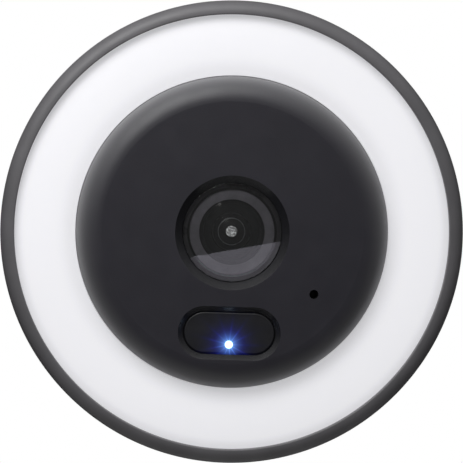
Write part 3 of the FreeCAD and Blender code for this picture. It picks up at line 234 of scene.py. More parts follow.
class Bench(Wiring):
    """A material being put together round one main shader."""

    def __init__(self, name: str) -> None:
        """Starts an empty material with its main shader.

        Args:
            name: what the material is called.
        """
        self.material = bpy.data.materials.new(name)
        self.material.use_nodes = True
        super().__init__(self.material.node_tree)
        self.output = self.add("ShaderNodeOutputMaterial")
        self.surface = self.add("ShaderNodeBsdfPrincipled")
        self.join(self.surface.outputs["BSDF"], self.output.inputs["Surface"])
        self.place = self.add("ShaderNodeTexCoord").outputs["Object"]

    def put(self, **sockets: Source) -> None:
        """Feeds inputs of the main shader.

        Args:
            sockets: what goes into each input, which is named with _ for a space.
        """
        for name, source in sockets.items():
            self.feed(self.surface.inputs[name.replace("_", " ")], source)

    def noise(
        self, size: float, detail: float = 3.0, stretch: Colour = (1.0, 1.0, 1.0)
    ) -> bpy.types.NodeSocket:
        """A cloudy pattern in the piece's own space.

        Args:
            size: how wide one patch is, in metres.
            detail: how many finer layers it has.
            stretch: how much the pattern is squeezed along X, Y and Z.

        Returns:
            The pattern's value, from 0 to 1.
        """
        mapping = self.add("ShaderNodeMapping")
        mapping.inputs["Scale"].default_value = stretch
        self.join(self.place, mapping.inputs["Vector"])
        node = self.add("ShaderNodeTexNoise")
        node.inputs["Scale"].default_value = 1.0 / size
        node.inputs["Detail"].default_value = detail
        self.join(mapping.outputs["Vector"], node.inputs["Vector"])
        return node.outputs["Fac"]

    def cells(self, size: float) -> bpy.types.NodeSocket:
        """A pattern of small cells.

        Args:
            size: how wide one cell is, in metres.

        Returns:
            The socket of the distance to the cell's middle.
        """
        node = self.add("ShaderNodeTexVoronoi", feature="F1")
        node.inputs["Scale"].default_value = 1.0 / size
        self.join(self.place, node.inputs["Vector"])
        return node.outputs["Distance"]

    def rings(self, pitch: float) -> bpy.types.NodeSocket:
        """Fine rings about the doorbell's axis, as a lathe leaves them.

        Args:
            pitch: the distance between two rings, in metres.

        Returns:
            The pattern's value, from 0 to 1.
        """
        node = self.add("ShaderNodeTexWave", wave_type="RINGS", rings_direction="Y")
        node.inputs["Scale"].default_value = BANDS / pitch
        node.inputs["Distortion"].default_value = 0.4
        self.join(self.place, node.inputs["Vector"])
        return node.outputs["Fac"]

    def radius(self, centre: Vector) -> bpy.types.NodeSocket:
        """How far a point is from a centre, seen from the front.

        Args:
            centre: the centre, in metres.

        Returns:
            The distance's socket, in metres.
        """
        mapping = self.add("ShaderNodeMapping")
        mapping.inputs["Location"].default_value = (-centre.x, 0.0, -centre.z)
        mapping.inputs["Scale"].default_value = (1.0, 0.0, 1.0)
        self.join(self.place, mapping.inputs["Vector"])
        node = self.add("ShaderNodeVectorMath", operation="LENGTH")
        self.join(mapping.outputs["Vector"], node.inputs[0])
        return node.outputs["Value"]

    def uneven(self, size: float, low: float, high: float) -> bpy.types.NodeSocket:
        """A value that wanders in patches between two others.

        Args:
            size: how wide one patch is, in metres.
            low: the lower value.
            high: the higher value.

        Returns:
            The value's socket.
        """
        return self.span(self.noise(size), 0.3, 0.7, low, high)

    def bump(self, height: bpy.types.NodeSocket, depth: float, strength: float = 1.0) -> None:
        """Lays a relief on the main shader, over any relief it has.

        Args:
            height: the relief's pattern.
            depth: how deep it is, in metres.
            strength: how much of it shows.
        """
        node = self.add("ShaderNodeBump")
        node.inputs["Distance"].default_value = depth
        node.inputs["Strength"].default_value = strength
        self.join(height, node.inputs["Height"])
        under = self.surface.inputs["Normal"]
        if under.is_linked:
            self.join(under.links[0].from_socket, node.inputs["Normal"])
        self.join(node.outputs["Normal"], under)

    def sparked(self, grain: float, depth: float) -> None:
        """Lays on the fine grain that a spark-eroded mould leaves.

        Args:
            grain: how wide one grain is, in metres.
            depth: how deep it is, in metres.
        """
        self.bump(self.noise(grain, 2.0), depth)
        self.bump(self.cells(grain * 1.7), depth, 0.5)

    def tone(self, source: bpy.types.NodeSocket, colour: Colour, change: float) -> bpy.types.NodeSocket:
        """A colour that is a little darker and lighter where the pattern says.

        Args:
            source: the pattern.
            colour: the colour in the middle.
            change: the share by which it changes either way.

        Returns:
            The colour's socket.
        """
        darker = tuple(c * (1.0 - change) for c in colour)
        lighter = tuple(min(1.0, c * (1.0 + change)) for c in colour)
        return self.ramp(source, [(0.3, darker), (0.7, lighter)])


# ---------------------------------------------------------------- finishes
class Finish(Protocol):
    """Anything that can be made into a material."""

    def make(self) -> bpy.types.Material:
        """Builds the material."""


@dataclass(frozen=True)
class Plastic:
    """Moulded plastic or rubber: fine grain, soft mottling and a roughness that isn't even."""

    name: str
    colour: Colour
    roughness: float = 0.45
    tooling: Tooling = Tooling.SPARKED
    grain: float = 0.00022
    depth: float = 0.000012
    change: float = 0.10
    sheen: float = 0.0
    coat: float = 0.0
    specular: float = 0.5

    def make(self) -> bpy.types.Material:
        """Builds the material.

        Returns:
            The material.
        """
        bench = Bench(self.name)
        bench.put(
            Base_Color=bench.tone(bench.noise(MOTTLE, 4.0), self.colour, self.change),
            Roughness=bench.uneven(WORN_PATCH, self.roughness * 0.92, self.roughness * 1.08),
            Sheen_Weight=self.sheen, Coat_Weight=self.coat, Coat_Roughness=0.08,
            Specular_IOR_Level=self.specular,
        )
        if self.tooling is Tooling.SPARKED:
            bench.sparked(self.grain, self.depth)
        else:
            bench.bump(bench.noise(0.006, 1.0), self.depth, 0.3)
        return bench.material


@dataclass(frozen=True)
class CoverPlastic:
    """Matt black plastic whose recess walls, below the face, are polished, with painted light that
    brightens its colour toward the rim of the shoulder.
    """

    name: str
    colour: Colour
    wall_colour: Colour
    face_out: float
    reach: float
    roughness: float = 0.5
    wall_roughness: float = 0.2
    sink: float = 0.00003
    # rim and the three fields after it shape painted light: a brighter colour toward the shoulder's rim
    rim: float = 0.031
    painted_rim_width: float = 0.0062
    painted_rim_gain: float = 0.16
    painted_rim_power: float = 2.8
    grain: float = 0.00022
    depth: float = 0.00001

    def make(self) -> bpy.types.Material:
        """Builds the material.

        Returns:
            The material.
        """
        bench = Bench(self.name)
        parts = bench.add("ShaderNodeSeparateXYZ")
        bench.join(bench.place, parts.inputs["Vector"])
        out = bench.radius(AXIS)
        low = bench.math("GREATER_THAN", parts.outputs["Y"], self.sink - self.face_out)
        wall = bench.math("MULTIPLY", low, bench.math("LESS_THAN", out, self.reach))
        # painted light: the colour brightens toward the rim, standing in for light falling on the shoulder
        rise = bench.span(out, self.rim - self.painted_rim_width, self.rim, 0.0, 1.0)
        painted_rim_light = bench.math("MULTIPLY", bench.math("POWER", rise, self.painted_rim_power), self.painted_rim_gain)
        face = bench.tone(bench.noise(MOTTLE, 4.0), self.colour, 0.08)
        colour = bench.blend(wall, face, (*self.wall_colour, 1.0))
        rough = bench.uneven(WORN_PATCH, self.roughness * 0.94, self.roughness * 1.06)
        smooth = bench.math("MULTIPLY", wall, self.roughness - self.wall_roughness)
        bench.put(
            Base_Color=bench.blend(1.0, colour, painted_rim_light, "ADD"),
            Roughness=bench.math("SUBTRACT", rough, smooth, True),
        )
        bench.sparked(self.grain, self.depth)
        return bench.material


@dataclass(frozen=True)
class PaintedGlint:
    """Glass at the bottom of the lens with a painted glint: bright specks over dark that glow as a painted
    reflection.
    """

    name: str
    dark: Colour
    bright: Colour
    glint: float
    speck: float = 0.00024
    relief: float = 0.0001

    def make(self) -> bpy.types.Material:
        """Builds the material.

        Returns:
            The material.
        """
        bench = Bench(self.name)
        specks = bench.noise(self.speck)
        between = tuple(c * 0.42 for c in self.bright)
        tone = bench.ramp(specks, [(0.42, self.dark), (0.5, between), (0.62, self.bright)])
        # painted glint: the specks are coloured bright and made to glow, standing in for a reflection
        bench.put(
            Base_Color=tone, Emission_Color=tone,
            Emission_Strength=bench.span(specks, 0.42, 0.66, self.glint * 0.3, self.glint * 3.2),
            Metallic=0.7, Roughness=0.16,
        )
        bench.bump(specks, self.relief)
        return bench.material


@dataclass(frozen=True)
class Metal:
    """Plain, brushed or turned metal, with faint tarnish."""

    name: str
    colour: Colour
    roughness: float = 0.32
    tooling: Tooling = Tooling.BRUSHED
    pitch: float = 0.00012
    depth: float = 0.000006
    metallic: float = 1.0
    tarnish: float = 0.14

    def make(self) -> bpy.types.Material:
        """Builds the material.

        Returns:
            The material.
        """
        bench = Bench(self.name)
        bench.put(
            Base_Color=bench.tone(bench.noise(0.0025, 4.0), self.colour, self.tarnish),
            Roughness=bench.uneven(0.0012, self.roughness * 0.8, self.roughness * 1.2),
            Metallic=self.metallic,
        )
        if self.tooling is Tooling.TURNED:
            bench.bump(bench.rings(self.pitch), self.depth)
        else:
            bench.bump(bench.noise(self.pitch, 2.0, (1.0, 8.0, 1.0)), self.depth)
        return bench.material


@dataclass(frozen=True)
class Pane:
    """Clear coated glass: it lets light through and reflects more at a slant."""

    name: str
    tint: Colour
    bounce: Colour = (1.0, 1.0, 1.0)
    index: float = 1.45
    roughness: float = 0.01

    def make(self) -> bpy.types.Material:
        """Builds the material.

        Returns:
            The material.
        """
        bench = Bench(self.name)
        clear = bench.add("ShaderNodeBsdfTransparent")
        smear = bench.noise(0.004)
        dull = tuple(c * 0.985 for c in self.tint)
        bench.join(bench.ramp(smear, [(0.35, self.tint), (0.65, dull)]), clear.inputs["Color"])
        shine = bench.add("ShaderNodeBsdfGlossy")
        shine.inputs["Color"].default_value = (*self.bounce, 1.0)
        dulled = bench.span(smear, 0.3, 0.7, self.roughness, self.roughness * 2.0)
        bench.join(dulled, shine.inputs["Roughness"])
        slant = bench.add("ShaderNodeFresnel")
        slant.inputs["IOR"].default_value = self.index
        blend = bench.add("ShaderNodeMixShader")
        bench.join(slant.outputs["Fac"], blend.inputs["Fac"])
        bench.join(clear.outputs["BSDF"], blend.inputs[1])
        bench.join(shine.outputs["BSDF"], blend.inputs[2])
        bench.join(blend.outputs["Shader"], bench.output.inputs["Surface"])
        bench.tree.nodes.remove(bench.surface)
        return bench.material


@dataclass(frozen=True)
class Milk:
    """Opal plastic lit from behind: brightest over the lamps and duller at both edges."""

    name: str
    colour: Colour
    glow: float
    inner: float
    outer: float
    edge: float
    inner_share: float = 0.84
    outer_share: float = 0.8

    def make(self) -> bpy.types.Material:
        """Builds the material.

        Returns:
            The material.
        """
        bench = Bench(self.name)
        out = bench.radius(AXIS)
        near = bench.span(out, self.inner, self.inner + self.edge, self.inner_share, 1.0)
        far = bench.span(out, self.outer - self.edge * 0.5, self.outer, 1.0, self.outer_share)
        near.node.interpolation_type = far.node.interpolation_type = "SMOOTHERSTEP"
        bench.put(
            Base_Color=bench.tone(bench.noise(0.02), self.colour, 0.012), Roughness=0.38,
            Subsurface_Weight=0.25, Subsurface_Radius=(0.004, 0.004, 0.0045), Subsurface_Scale=0.5,
            Emission_Strength=bench.math("MULTIPLY", bench.math("MULTIPLY", near, far), self.glow),
            Emission_Color=(0.97, 0.97, 1.0, 1.0),
        )
        bench.bump(bench.noise(0.0004, 2.0), 0.000004)
        return bench.material


@dataclass(frozen=True)
class Smoked:
    """Glossy smoked plastic that a lamp shines through, with a halo and fine rays round it."""

    name: str
    colour: Colour
    lamp: tuple[float, float]
    strength: float
    rays: int = 13
    thinness: float = 14.0
    halo: tuple[float, float] = (0.00095, 1.8)
    flare: tuple[float, float] = (0.00115, 1.4)

    def make(self) -> bpy.types.Material:
        """Builds the material.

        Returns:
            The material.
        """
        bench = Bench(self.name)
        centre = Vector((self.lamp[0], 0.0, self.lamp[1]))
        out = bench.radius(centre)
        parts = bench.add("ShaderNodeSeparateXYZ")
        bench.join(bench.place, parts.inputs["Vector"])
        across = bench.math("SUBTRACT", parts.outputs["X"], centre.x)
        rise = bench.math("SUBTRACT", parts.outputs["Z"], centre.z)
        angle = bench.math("ARCTAN2", rise, across)
        wave = bench.math("COSINE", bench.math("MULTIPLY", angle, self.rays / 2))
        thin = bench.math("POWER", bench.math("ABSOLUTE", wave), self.thinness)
        uneven = bench.span(bench.noise(0.0022, 1.0), 0.35, 0.65, 0.25, 1.0)
        spokes = bench.math("MULTIPLY", thin, uneven)
        halo = self.fade(bench, out, *self.halo)
        flare = bench.math("MULTIPLY", spokes, self.fade(bench, out, *self.flare))
        hue = bench.ramp(bench.span(out, 0.0004, 0.003, 0.0, 1.0), [
            (0.0, (0.30, 0.55, 1.0)), (0.3, (0.13, 0.31, 1.0)), (1.0, (0.04, 0.06, 0.85)),
        ])
        bench.put(
            Base_Color=bench.tone(bench.noise(0.006), self.colour, 0.12),
            Roughness=bench.uneven(0.002, 0.32, 0.40),
            Emission_Strength=bench.math("MULTIPLY", bench.math("ADD", halo, flare), self.strength),
            Emission_Color=hue,
        )
        bench.bump(bench.noise(0.004, 1.0), 0.00002, 0.4)
        return bench.material

    @staticmethod
    def fade(
        bench: Bench, out: bpy.types.NodeSocket, reach: float, gain: float
    ) -> bpy.types.NodeSocket:
        """A glow that dies away with distance.

        Args:
            bench: the material's bench.
            out: the distance from the lamp.
            reach: the distance over which the glow falls to about a third.
            gain: the glow at the lamp.

        Returns:
            The glow's socket.
        """
        fall = bench.math("EXPONENT", bench.math("MULTIPLY", out, -1.0 / reach))
        return bench.math("MULTIPLY", fall, gain)


@dataclass(frozen=True)
class Lamp:
    """A small lens that shines, brightest at its middle."""

    name: str
    colour: Colour
    strength: float
    centre: tuple[float, float] = (0.0, 0.0)
    reach: float = 0.0

    def make(self) -> bpy.types.Material:
        """Builds the material.

        Returns:
            The material.
        """
        bench = Bench(self.name)
        glow: Source = self.strength
        hue: Source = (*self.colour, 1.0)
        if self.reach:
            out = bench.radius(Vector((self.centre[0], 0.0, self.centre[1])))
            glow = bench.span(out, self.reach * 0.45, self.reach, self.strength, self.strength * 0.25)
            fringe = bench.span(out, self.reach * 0.5, self.reach, 0.0, 1.0)
            hue = bench.ramp(fringe, [(0.0, (0.86, 0.97, 1.0)), (1.0, self.colour)])
        bench.put(
            Base_Color=bench.tone(bench.noise(0.001, 2.0), self.colour, 0.05), Roughness=0.2,
            Emission_Color=hue, Emission_Strength=glow,
        )
        return bench.material


@dataclass(frozen=True)
class Laminate:
    """A circuit board: solder mask over raised tracks, with plated pads."""

    name: str
    mask: Colour
    track: Colour
    pad: Colour = (0.78, 0.62, 0.30)
    bricks: float = 420.0
    pad_pitch: float = 0.0028
    relief: float = 0.00004

    def make(self) -> bpy.types.Material:
        """Builds the material.

        Returns:
            The material.
        """
        bench = Bench(self.name)
        tracks = bench.add("ShaderNodeTexBrick")
        tracks.inputs["Scale"].default_value = self.bricks
        tracks.inputs["Mortar Size"].default_value = 0.03
        tracks.inputs["Color1"].default_value = (*self.mask, 1.0)
        tracks.inputs["Color2"].default_value = (*tuple(c * 1.2 for c in self.mask), 1.0)
        tracks.inputs["Mortar"].default_value = (*self.track, 1.0)
        turned = bench.add("ShaderNodeMapping")
        turned.inputs["Rotation"].default_value = (math.radians(90), 0.0, 0.0)
        bench.join(bench.place, turned.inputs["Vector"])
        bench.join(turned.outputs["Vector"], tracks.inputs["Vector"])
        dots = bench.span(bench.cells(self.pad_pitch), 0.12, 0.15, 1.0, 0.0)
        bench.put(
            Base_Color=bench.blend(dots, tracks.outputs["Color"], (*self.pad, 1.0)),
            Metallic=dots, Roughness=0.3, Coat_Weight=0.5,
        )
        bench.bump(tracks.outputs["Fac"], self.relief)
        return bench.material


@dataclass(frozen=True)
class Winding:
    """Enamelled wire wound in close turns, or a woven or ribbed skin."""

    name: str
    colour: Colour
    pitch: float
    metallic: float = 0.8

    def make(self) -> bpy.types.Material:
        """Builds the material.

        Returns:
            The material.
        """
        bench = Bench(self.name)
        turns = bench.add("ShaderNodeTexWave", wave_type="BANDS", bands_direction="X")
        turns.inputs["Scale"].default_value = BANDS / self.pitch
        bench.join(bench.place, turns.inputs["Vector"])
        bench.put(
            Base_Color=bench.tone(turns.outputs["Fac"], self.colour, 0.35),
            Metallic=self.metallic, Roughness=0.34,
        )
        bench.bump(turns.outputs["Fac"], self.pitch * 0.3)
        return bench.material


SCREW_STEEL = Metal("screw steel", (0.56, 0.56, 0.57), 0.3)
GREEN_MASK = Laminate("green mask", (0.012, 0.10, 0.05), (0.03, 0.20, 0.10))
SWITCH_CASE = Plastic("switch case", (0.02, 0.02, 0.022), 0.35)
AMBER_FILM = Plastic("amber film", (0.45, 0.20, 0.04), 0.25, Tooling.POLISHED)


# ---------------------------------------------------------------- mesh craft
def rounded(corners: list[tuple[float, float, float]], steps: int = 8) -> Outline:
    """Rounds the corners of a closed outline.

    Args:
        corners: (radius, out, rounding) for each corner.
        steps: how many straight pieces make one rounding.

    Returns:
        The outline's points.
    """
    made: Outline = []
    for i, (x, y, size) in enumerate(corners):
        here = Vector((x, y))
        before = (Vector(corners[i - 1][:2]) - here).normalized()
        after = (Vector(corners[(i + 1) % len(corners)][:2]) - here).normalized()
        half = before.angle(after) / 2
        if size <= 0.0 or half > STRAIGHT:
            made.append((x, y))
            continue
        centre = here + (before + after).normalized() * (size / math.sin(half))
        reach = size / math.tan(half)
        start = here + before * reach - centre
        sweep = start.angle_signed(here + after * reach - centre)
        made.append(tuple(here + before * reach * SUPPORT))
        for step in range(steps + 1):
            spoke = start.copy()
            spoke.rotate(Matrix.Rotation(-sweep * step / steps, 2))
            made.append(tuple(centre + spoke))
        made.append(tuple(here + after * reach * SUPPORT))
    return made


def lathe(name: str, outline: Outline, turning: Turning, closed: bool = True) -> bpy.types.Object:
    """Turns an outline about the doorbell's axis.

    Args:
        name: what the piece is called.
        outline: (radius, out) points, in metres.
        turning: how finely it is turned.
        closed: whether the last point joins the first.

    Returns:
        The piece.
    """
    steps = turning.value
    shape = bmesh.new()
    turns = [(math.cos(math.tau * i / steps), math.sin(math.tau * i / steps)) for i in range(steps)]
    hoops = []
    for radius, out in outline:
        around = turns if radius > 0.0 else [(0.0, 0.0)]
        hoops.append([shape.verts.new((radius * c, -out, radius * s)) for c, s in around])
    pairs = list(zip(hoops, hoops[1:])) + ([(hoops[-1], hoops[0])] if closed else [])
    for low, high in pairs:
        for i in range(steps):
            j = (i + 1) % steps
            corners = [low[i % len(low)], low[j % len(low)], high[j % len(high)], high[i % len(high)]]
            corners = list(dict.fromkeys(corners))
            if len(corners) > 2:
                shape.faces.new(corners)
    bmesh.ops.recalc_face_normals(shape, faces=shape.faces)
    mesh = bpy.data.meshes.new(name)
    shape.to_mesh(mesh)
    shape.free()
    mesh.polygons.foreach_set("use_smooth", [True] * len(mesh.polygons))
    mesh.set_sharp_from_angle(angle=CREASE)
    piece = bpy.data.objects.new(name, mesh)
    bpy.context.scene.collection.objects.link(piece)
    return piece


@dataclass
class SubAssembly:
    """Pieces that are built and dressed together."""

    nodes: dict[str, bpy.types.Object]
    made: list[str] = field(default_factory=list)

    def dress(self, **finishes: Finish) -> None:
        """Gives carried-over pieces their finishes.

        Args:
            finishes: the finish of each piece, under the piece's name.
        """
        for node, finish in finishes.items():
            mesh = self.nodes[node].data
            mesh.materials.clear()
            mesh.materials.append(finish.make())
            self.made.append(node)

    def place(self, piece: bpy.types.Object, finish: Finish, body: Body, slot: str, *nodes: str) -> None:
        """Dresses a new piece and ties it to the body it rides on.

        Args:
            piece: the new piece.
            finish: what it is finished in.
            body: the body it rides on.
            slot: the record's material slot; not used.
            nodes: the plain pieces that it stands for.
        """
        piece.data.materials.append(finish.make())
        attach(piece, body.value)
        if nodes:
            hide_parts(*nodes)
        self.made.append(piece.name)

    def report(self) -> None:
        """Logs every piece that was dressed."""
        for name in self.made:
            LOG.info("%s: %s", type(self).__name__, name)


# ---------------------------------------------------------------- sub-assemblies
@dataclass
class Bezel(SubAssembly):
    """The charcoal outer ring with its rounded shoulder."""

    outer: float = 46.0 * MM
    inner: float = 43.2 * MM
    wall: float = 44.4 * MM
    rear_radius: float = 45.2 * MM
    rear_out: float = 20.0 * MM
    belly_out: float = 22.0 * MM
    lip_out: float = 28.0 * MM
    front_out: float = 30.2 * MM
    shoulder: float = 2.4 * MM
    edge: float = 0.25 * MM
    belly: float = 0.8 * MM

    def build(self) -> None:
        """Turns the ring and dresses it."""
        corners = [
            (self.wall, self.rear_out, 0.0),
            (self.rear_radius, self.rear_out, self.edge),
            (self.outer, self.belly_out, self.belly),
            (self.outer, self.front_out, self.shoulder),
            (self.inner, self.front_out, self.edge),
            (self.inner, self.lip_out, 0.0),
            (self.wall, self.lip_out, 0.0),
        ]
        ring = lathe("bezel_ring", rounded(corners, 14), Turning.RING)
        finish = Plastic("charcoal satin", (0.098, 0.095, 0.101), roughness=0.5, depth=0.000010)
        self.place(ring, finish, Body.HOUSING, "bezel_plastic", "outer_bezel")


@dataclass
class LightRing(SubAssembly):
    """The opal ring, the lamps under it and the trough that holds them."""

    inner: float = 31.1 * MM
    outer: float = 43.1 * MM
    flange: float = 44.3 * MM
    under: float = 27.0 * MM
    flange_out: float = 28.0 * MM
    front_out: float = 28.6 * MM
    crown: float = 0.35 * MM
    edge: float = 4.5 * MM
    steps: int = 24

    def build(self) -> None:
        """Turns the opal ring and dresses the pieces under it."""
        arch = []
        for i in range(self.steps + 1):
            share = i / self.steps
            radius = self.outer + (self.inner - self.outer) * share
            rise = self.crown * (1.0 - (2.0 * share - 1.0) ** 2)
            arch.append((radius, self.front_out + rise))
        outline = [
            (self.inner, self.under), (self.flange, self.under), (self.flange, self.flange_out),
            (self.outer, self.flange_out), *arch,
        ]
        ring = lathe("opal_ring", outline, Turning.RING)
        milk = Milk("opal white", (0.43, 0.427, 0.445), 0.56, self.inner, self.outer, self.edge)
        self.place(ring, milk, Body.HOUSING, "diffuser_white", "ring_diffuser")
        self.dress(
            ring_leds=Lamp("ring lamp", (1.0, 0.93, 0.78), 1.0),
            light_reflector=Plastic("reflector white", (0.88, 0.88, 0.87), 0.5),
            led_board=Laminate("white mask", (0.80, 0.80, 0.78), (0.62, 0.62, 0.60)),
            heat_spreader=Metal("rolled aluminium", (0.78, 0.79, 0.80), 0.34),
        )


@dataclass
class CameraCover(SubAssembly):
    """The black disc over the camera, its window and the microphone under it."""

    pane_radius: float = 9.8 * MM
    pane_in: float = 30.2 * MM
    pane_out: float = 31.4 * MM
    pane_edge: float = 0.12 * MM
    face_out: float = 33.0 * MM
    walls_within: float = 26.0 * MM

    def build(self) -> None:
        """Dresses the disc and builds the window pane."""
        face, walls = (0.0115, 0.0105, 0.0165), (0.011, 0.011, 0.013)
        cover = CoverPlastic("cover black", face, walls, self.face_out, self.walls_within)
        self.dress(camera_cover=cover)
        corners = [
            (0.0, self.pane_in, 0.0), (self.pane_radius, self.pane_in, self.pane_edge),
            (self.pane_radius, self.pane_out, self.pane_edge), (0.0, self.pane_out, 0.0),
        ]
        pane = lathe("window_pane", rounded(corners, 4), Turning.LENS, closed=False)
        glass = Pane("window glass", (0.93, 0.93, 0.94), index=1.62, roughness=0.002)
        self.place(pane, glass, Body.HOUSING, "window_glass", "window_glass")
        self.dress(
            window_tape=Plastic("tape black", (0.07, 0.07, 0.074), 0.6),
            microphone=Metal("dark can", (0.05, 0.05, 0.05), 0.5),
            mic_boot=Plastic("boot rubber", (0.02, 0.02, 0.02), 0.65, sheen=0.2),
        )


@dataclass
class BellPush(SubAssembly):
    """The bell button with its lamp, its switch and the board that carries them."""

    lamp_at: tuple[float, float] = (0.0, -22.2 * MM)
    lamp_radius: float = 0.8 * MM

    def build(self) -> None:
        """Dresses the button, its lamp and its switch."""
        self.dress(bell_button=Smoked("smoked gloss", (0.009, 0.009, 0.011), self.lamp_at, 1.0))
        pipe = Lamp("blue lamp", (0.22, 0.50, 1.0), 7.0, self.lamp_at, self.lamp_radius)
        self.dress(
            button_light_pipe=pipe,
            status_led=Lamp("blue chip", (0.30, 0.55, 1.0), 2.0),
            front_board=Laminate("black mask", (0.010, 0.013, 0.012), (0.03, 0.035, 0.03)),
            front_board_screws=SCREW_STEEL,
            switch_body=SWITCH_CASE,
            switch_plunger=Plastic("switch ivory", (0.72, 0.68, 0.55), 0.4),
        )


@dataclass
class CameraEye(SubAssembly):
    """The lens behind the window and the pieces that carry it."""

    rim: float = 6.75 * MM
    rim_out: float = 28.2 * MM
    crest_out: float = 29.2 * MM
    seat: float = 7.4 * MM
    bore: float = 5.6 * MM
    seat_out: float = 26.3 * MM
    hollow: float = 9.0 * MM
    stop_out: float = 25.0 * MM
    step_wide: float = 3.75 * MM
    step_middle: float = 2.55 * MM
    iris: float = 1.1 * MM
    iris_out: float = 24.55 * MM
    iris_rise: float = 0.5 * MM
    ring_bore: float = 6.5 * MM
    ring_radius: float = 8.45 * MM
    ring_out: float = 29.0 * MM
    ring_round: float = 0.08 * MM
    lip: float = 0.1 * MM
    slope: float = 0.28 * MM
    falls: tuple[float, float, float] = (0.7 * MM, 0.6 * MM, 0.5 * MM)
    bead_radius: float = 2.66 * MM
    bead_out: tuple[float, float] = (25.1 * MM, 24.7 * MM)
    bead_size: float = 0.09 * MM

    def dome(self, low: float, high: float, radius: float, steps: int = 24) -> Outline:
        """Points along a shallow dome.

        Args:
            low: how far out its rim is.
            high: how far out its crest is.
            radius: the rim's radius.
            steps: how many steps there are from rim to crest.

        Returns:
            The points, from the rim to the crest.
        """
        rise = high - low
        ball = (radius ** 2 + rise ** 2) / (2 * rise)
        points = []
        for i in range(steps + 1):
            across = radius * (1.0 - i / steps)
            points.append((across, high - ball + math.sqrt(ball ** 2 - across ** 2)))
        return points

    def bead(self, radius: float, out: float) -> Outline:
        """The round edge of a lens cell."""
        turns = [math.tau * i / 12 for i in range(12)]
        return [(radius + self.bead_size * math.cos(a), out + self.bead_size * math.sin(a)) for a in turns]

    def steps(self) -> Outline:
        """The funnel's outline, in which each step has a sloped edge.

        Returns:
            The outline's points.
        """
        line = [(self.bore, self.stop_out), (self.step_wide + self.slope, self.stop_out)]
        radii = (self.step_wide, self.step_middle, self.iris)
        out = self.stop_out
        for index, (radius, fall) in enumerate(zip(radii, self.falls)):
            line.append((radius, out - self.slope))
            out -= fall
            line.append((radius, out))
            line += [(smaller + self.slope, out) for smaller in radii[index + 1:index + 2]]
        return [*line, (self.bore, out)]

    def build(self) -> None:
        """Builds the glasses, the ring, the beads and the stop, and dresses the rest."""
        self.front()
        self.pupil()
        self.retainer()
        self.beads()
        self.stop()
        self.dress(
            lens_barrel=Metal("black anodised", (0.075, 0.075, 0.078), 0.45, Tooling.TURNED, metallic=0.6),
            lens_rear_element=Pane("rear lens", (0.60, 0.55, 0.66), (0.6, 0.9, 0.7)),
            lens_holder=Plastic("holder black", (0.018, 0.018, 0.018), 0.5),
            filter_carrier=Plastic("carrier black", (0.03, 0.03, 0.03), 0.45),
            ir_filter_pane=Pane("teal filter", (0.35, 0.72, 0.76), (0.9, 0.4, 0.5)),
            clear_pane=Pane("clear filter", (0.90, 0.92, 0.92)),
            filter_coil=Winding("enamelled copper", (0.62, 0.28, 0.12), 0.00012),
            image_sensor=Pane("sensor face", (0.10, 0.13, 0.20), (0.7, 0.8, 1.0), 1.8),
            camera_board=GREEN_MASK,
            camera_screws=SCREW_STEEL,
            camera_flex=AMBER_FILM,
        )

    def front(self) -> None:
        """Builds the front glass, domed outside and cupped behind."""
        cupped = self.seat_out + self.hollow - math.sqrt(self.hollow ** 2 - self.bore ** 2)
        under = self.dome(self.seat_out, cupped, self.bore)
        outline = [
            *reversed(under), (self.seat, self.seat_out), (self.seat, self.rim_out),
            *self.dome(self.rim_out, self.crest_out, self.rim),
        ]
        front = lathe("front_glass", outline, Turning.LENS, closed=False)
        glass = Pane("coated lens", (0.94, 0.95, 0.945), (0.85, 0.85, 0.80), 1.22)
        self.place(front, glass, Body.HOUSING, "lens_glass", "lens_front_element")

    def pupil(self) -> None:
        """Builds the small glass at the bottom of the funnel, which carries a painted glint."""
        cap = [(0.0, self.iris_out), *self.dome(self.iris_out, self.iris_out + self.iris_rise, self.iris)]
        iris = lathe("iris_glass", cap, Turning.SPECK, closed=False)
        # the iris glass shows a painted glint; it is not a lamp
        shine = PaintedGlint("iris painted glint", (0.10, 0.10, 0.105), (1.0, 1.0, 1.0), 0.30)
        self.place(iris, shine, Body.HOUSING, "rear_glass")

    def retainer(self) -> None:
        """Builds the ring that holds the front glass."""
        ring = lathe("retaining_ring", rounded([
            (self.ring_bore, self.rim_out + self.lip, self.ring_round / 2),
            (self.ring_bore, self.ring_out, self.ring_round),
            (self.ring_radius, self.ring_out, self.ring_round),
            (self.ring_radius, self.rim_out, 0.0), (self.rim + self.lip, self.rim_out, 0.0),
        ], 5), Turning.LENS)
        grey = Metal("grey anodised", (0.33, 0.32, 0.345), 0.5, Tooling.TURNED, metallic=0.6)
        self.place(ring, grey, Body.HOUSING, "retainer_ring", "lens_retainer")

    def beads(self) -> None:
        """Builds the thin round edges of the lens cells, the outer painted darker as painted shade and the
        inner lighter as a painted highlight.
        """
        # painted light: the same cell edge gets a dark tone on the outer bead (painted shade) and a light
        # one on the inner bead (painted highlight)
        radii, painted_light_tones = (self.step_wide, self.bead_radius), ((0.10, 0.10, 0.10), (0.45, 0.45, 0.46))
        for number, (radius, out, tone) in enumerate(zip(radii, self.bead_out, painted_light_tones), 1):
            bead = lathe(f"lens_bead_{number}", self.bead(radius, out), Turning.BEAD)
            shade = Metal(f"bead grey {number}", tone, 0.3, metallic=0.4)
            self.place(bead, shade, Body.HOUSING, "barrel_black")

    def stop(self) -> None:
        """Builds the stepped funnel behind the front glass."""
        stop = lathe("stepped_stop", self.steps(), Turning.LENS)
        polished = Plastic("stepped black", (0.013, 0.013, 0.013), 0.30, Tooling.POLISHED, specular=0.6)
        self.place(stop, polished, Body.HOUSING, "stop_black", "lens_stop")


